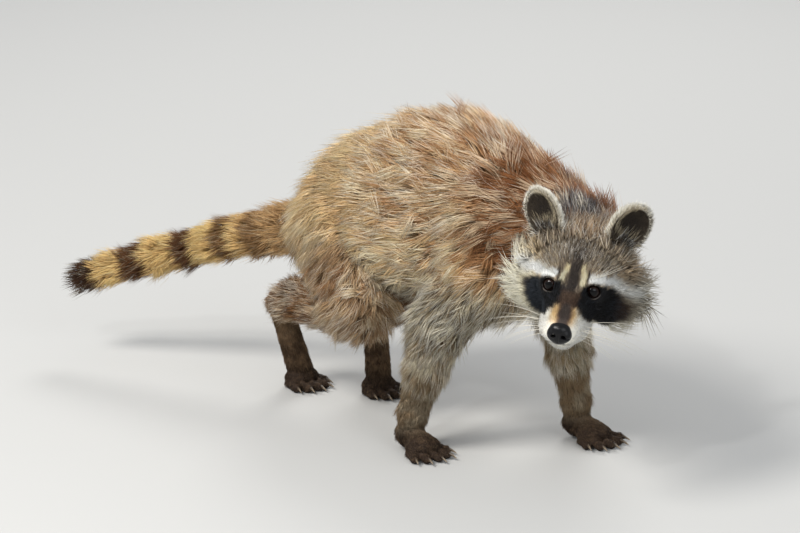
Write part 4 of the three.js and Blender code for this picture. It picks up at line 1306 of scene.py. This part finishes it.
# brow whiskers
for s in (-1, 1):
    for i in range(5):
        root = np.array([1.0 - 1.5 * i, s * (15 + 2.0 * i), 13 + 0.4 * i])
        world = HEAD_AT + HEAD_R @ root
        n_ = skin_normal(world[None])[0]
        world = world - n_ * (skin_field(world[None])[0] + 0.6)
        lng = 20 + wr.rand() * 8
        d0 = unit(np.array([0.35, s * (0.35 + 0.15 * i), 0.75]))
        k = np.linspace(0, 1, 9)
        paths.append(np.array([world + HEAD_R @ (d0 * kk * lng + np.array([-0.5, s * 0.15, -0.1]) * lng * kk * kk * 0.7) for kk in k]))
        radii.append(0.18 * (1 - k) ** 0.8 + 0.05)
        cols.append(np.tile(srgb(200, 194, 180), (9, 1)))
RV, RT, RC = rods(np.array(paths), np.array(radii), np.array(cols))
whiskers = make_mesh("whiskers", RV, RT, 3, RC, material=whisker_mat)
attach(whiskers, "root")

# ---- the coat -----------------------------------------------------------------------------------
BUDGET = 236000
PIECES = 8
roots, rn = scatter(V, Q, NORMALS, BUDGET)
T = grow_tufts(roots, rn)
N = len(roots)
# a stray hair that would stand well out of the animal's box is shortened
box_lo = np.array(CAD_BOUNDS[0]) * 1000.0 - SHIFT - 8.0
box_hi = np.array(CAD_BOUNDS[1]) * 1000.0 - SHIFT + 8.0
for _ in range(3):
    over = np.any((T["end"] < box_lo) | (T["end"] > box_hi), axis=1)
    T["end"][over] = T["mid"][over] + 0.6 * (T["end"][over] - T["mid"][over])
w = T["width"]
side = T["side"]
n = T["n"]
# a spindle: a point in the skin, a three-sided ring at its widest, and a tip
ring = np.stack([T["mid"] + side * (0.5 * w)[:, None], T["mid"] - side * (0.5 * w)[:, None], T["mid"] + n * (0.5 * w)[:, None]], 1)
TV = np.concatenate([T["base"][:, None], ring, T["end"][:, None]], 1)          # five points to a tuft
TC = np.concatenate([T["col"][:, 0:1], np.repeat(T["col"][:, 1:2], 3, 1), T["col"][:, 2:3]], 1)
local = []
for i in range(3):
    j = (i + 1) % 3
    local += [(0, 1 + j, 1 + i), (1 + i, 1 + j, 4)]
local = np.array(local)
f0 = TV[:, local]                                                               # (N, 6, 3, 3)
cross = np.cross(f0[:, :, 1] - f0[:, :, 0], f0[:, :, 2] - f0[:, :, 0])
outward = f0.mean(2) - TV.mean(1)[:, None]
if ((cross * outward).sum(-1) > 0).mean() < 0.5:
    local = local[:, ::-1]
UVR = unwrap(roots, weights(roots), T["f"]["ear"])
# each tuft is a patch 0.003 across at its root: its levels run up it and its sides across it
patch = 0.003
pu = np.array([0.5, 0.0, 1.0, 0.5, 0.5]) - 0.5
pv = np.array([0.0, 0.42, 0.42, 0.60, 1.0]) - 0.5
corner_uv = np.stack([pu[local], pv[local]], -1)                                # (6, 3, 2)
which = np.random.RandomState(3).permutation(N) % PIECES
for k in range(PIECES):
    m = np.where(which == k)[0]
    vv = TV[m].reshape(-1, 3)
    cc = TC[m].reshape(-1, 3)
    ff = (np.arange(len(m))[:, None, None] * 5 + local[None]).reshape(-1, 3)
    uv = (UVR[m][:, None, None, :] + corner_uv[None] * patch).reshape(-1, 2)
    coat = make_mesh("coat_%d" % (k + 1), vv, ff, 3, cc, smooth=True, uv=uv, material=coat_mat)
    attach(coat, "root")

# ---- floor, light, camera -------------------------------------------------------------------------
bpy.ops.mesh.primitive_plane_add(size=14, location=(0, 0, 0))
floor = bpy.context.object
floor.name = "floor"
fm, nt, b = new_material("plain_floor", Roughness=0.9)
b.inputs["Base Color"].default_value = (0.52, 0.52, 0.51, 1)
floor.data.materials.append(fm)

world = bpy.data.worlds.new("studio")
bpy.context.scene.world = world
world.use_nodes = True
world.node_tree.nodes["Background"].inputs["Color"].default_value = (0.93, 0.96, 1.0, 1)
world.node_tree.nodes["Background"].inputs["Strength"].default_value = 0.55


def area(name, location, target, size, power, colour=(1, 1, 1)):
    li = bpy.data.lights.new(name, "AREA")
    li.shape = "DISK"
    li.size = size
    li.energy = power
    li.color = colour
    ob = bpy.data.objects.new(name, li)
    bpy.context.scene.collection.objects.link(ob)
    ob.location = location
    ob.rotation_euler = (Vector(target) - Vector(location)).to_track_quat("-Z", "Y").to_euler()


area("key", (-0.25, -1.9, 2.2), (0.03, -0.02, 0.15), 1.1, 66, (1.0, 0.97, 0.92))
area("catch", (0.75, -1.75, 1.75), (0.2, -0.06, 0.2), 0.15, 9, (1.0, 1.0, 1.0))
area("fill", (2.3, -0.5, 1.3), (0.1, -0.02, 0.15), 1.6, 15, (0.94, 0.97, 1.0))
area("rim", (-1.3, 1.6, 1.9), (0, 0, 0.2), 1.0, 26, (1.0, 0.98, 0.95))

AZ, EL, DIST, FOCAL = 48.0, 16.0, 3500.0, 3884.1
TARGET = np.array([-11.0, -35.1, 146.5])
a_, e_ = math.radians(AZ), math.radians(EL)
back = np.array([math.sin(a_) * math.cos(e_), -math.cos(a_) * math.cos(e_), math.sin(e_)])
cam = bpy.data.cameras.new("camera")
cam.sensor_width = 36.0
cam.lens = FOCAL / 800 * 36.0
cam.clip_start, cam.clip_end = 0.05, 60
camera = bpy.data.objects.new("camera", cam)
bpy.context.scene.collection.objects.link(camera)
camera.location = metres(TARGET + back * DIST)
camera.rotation_mode = "QUATERNION"
camera.rotation_quaternion = Vector(-back).to_track_quat("-Z", "Y")
bpy.context.scene.camera = camera
bpy.context.scene.view_settings.view_transform = "Standard"
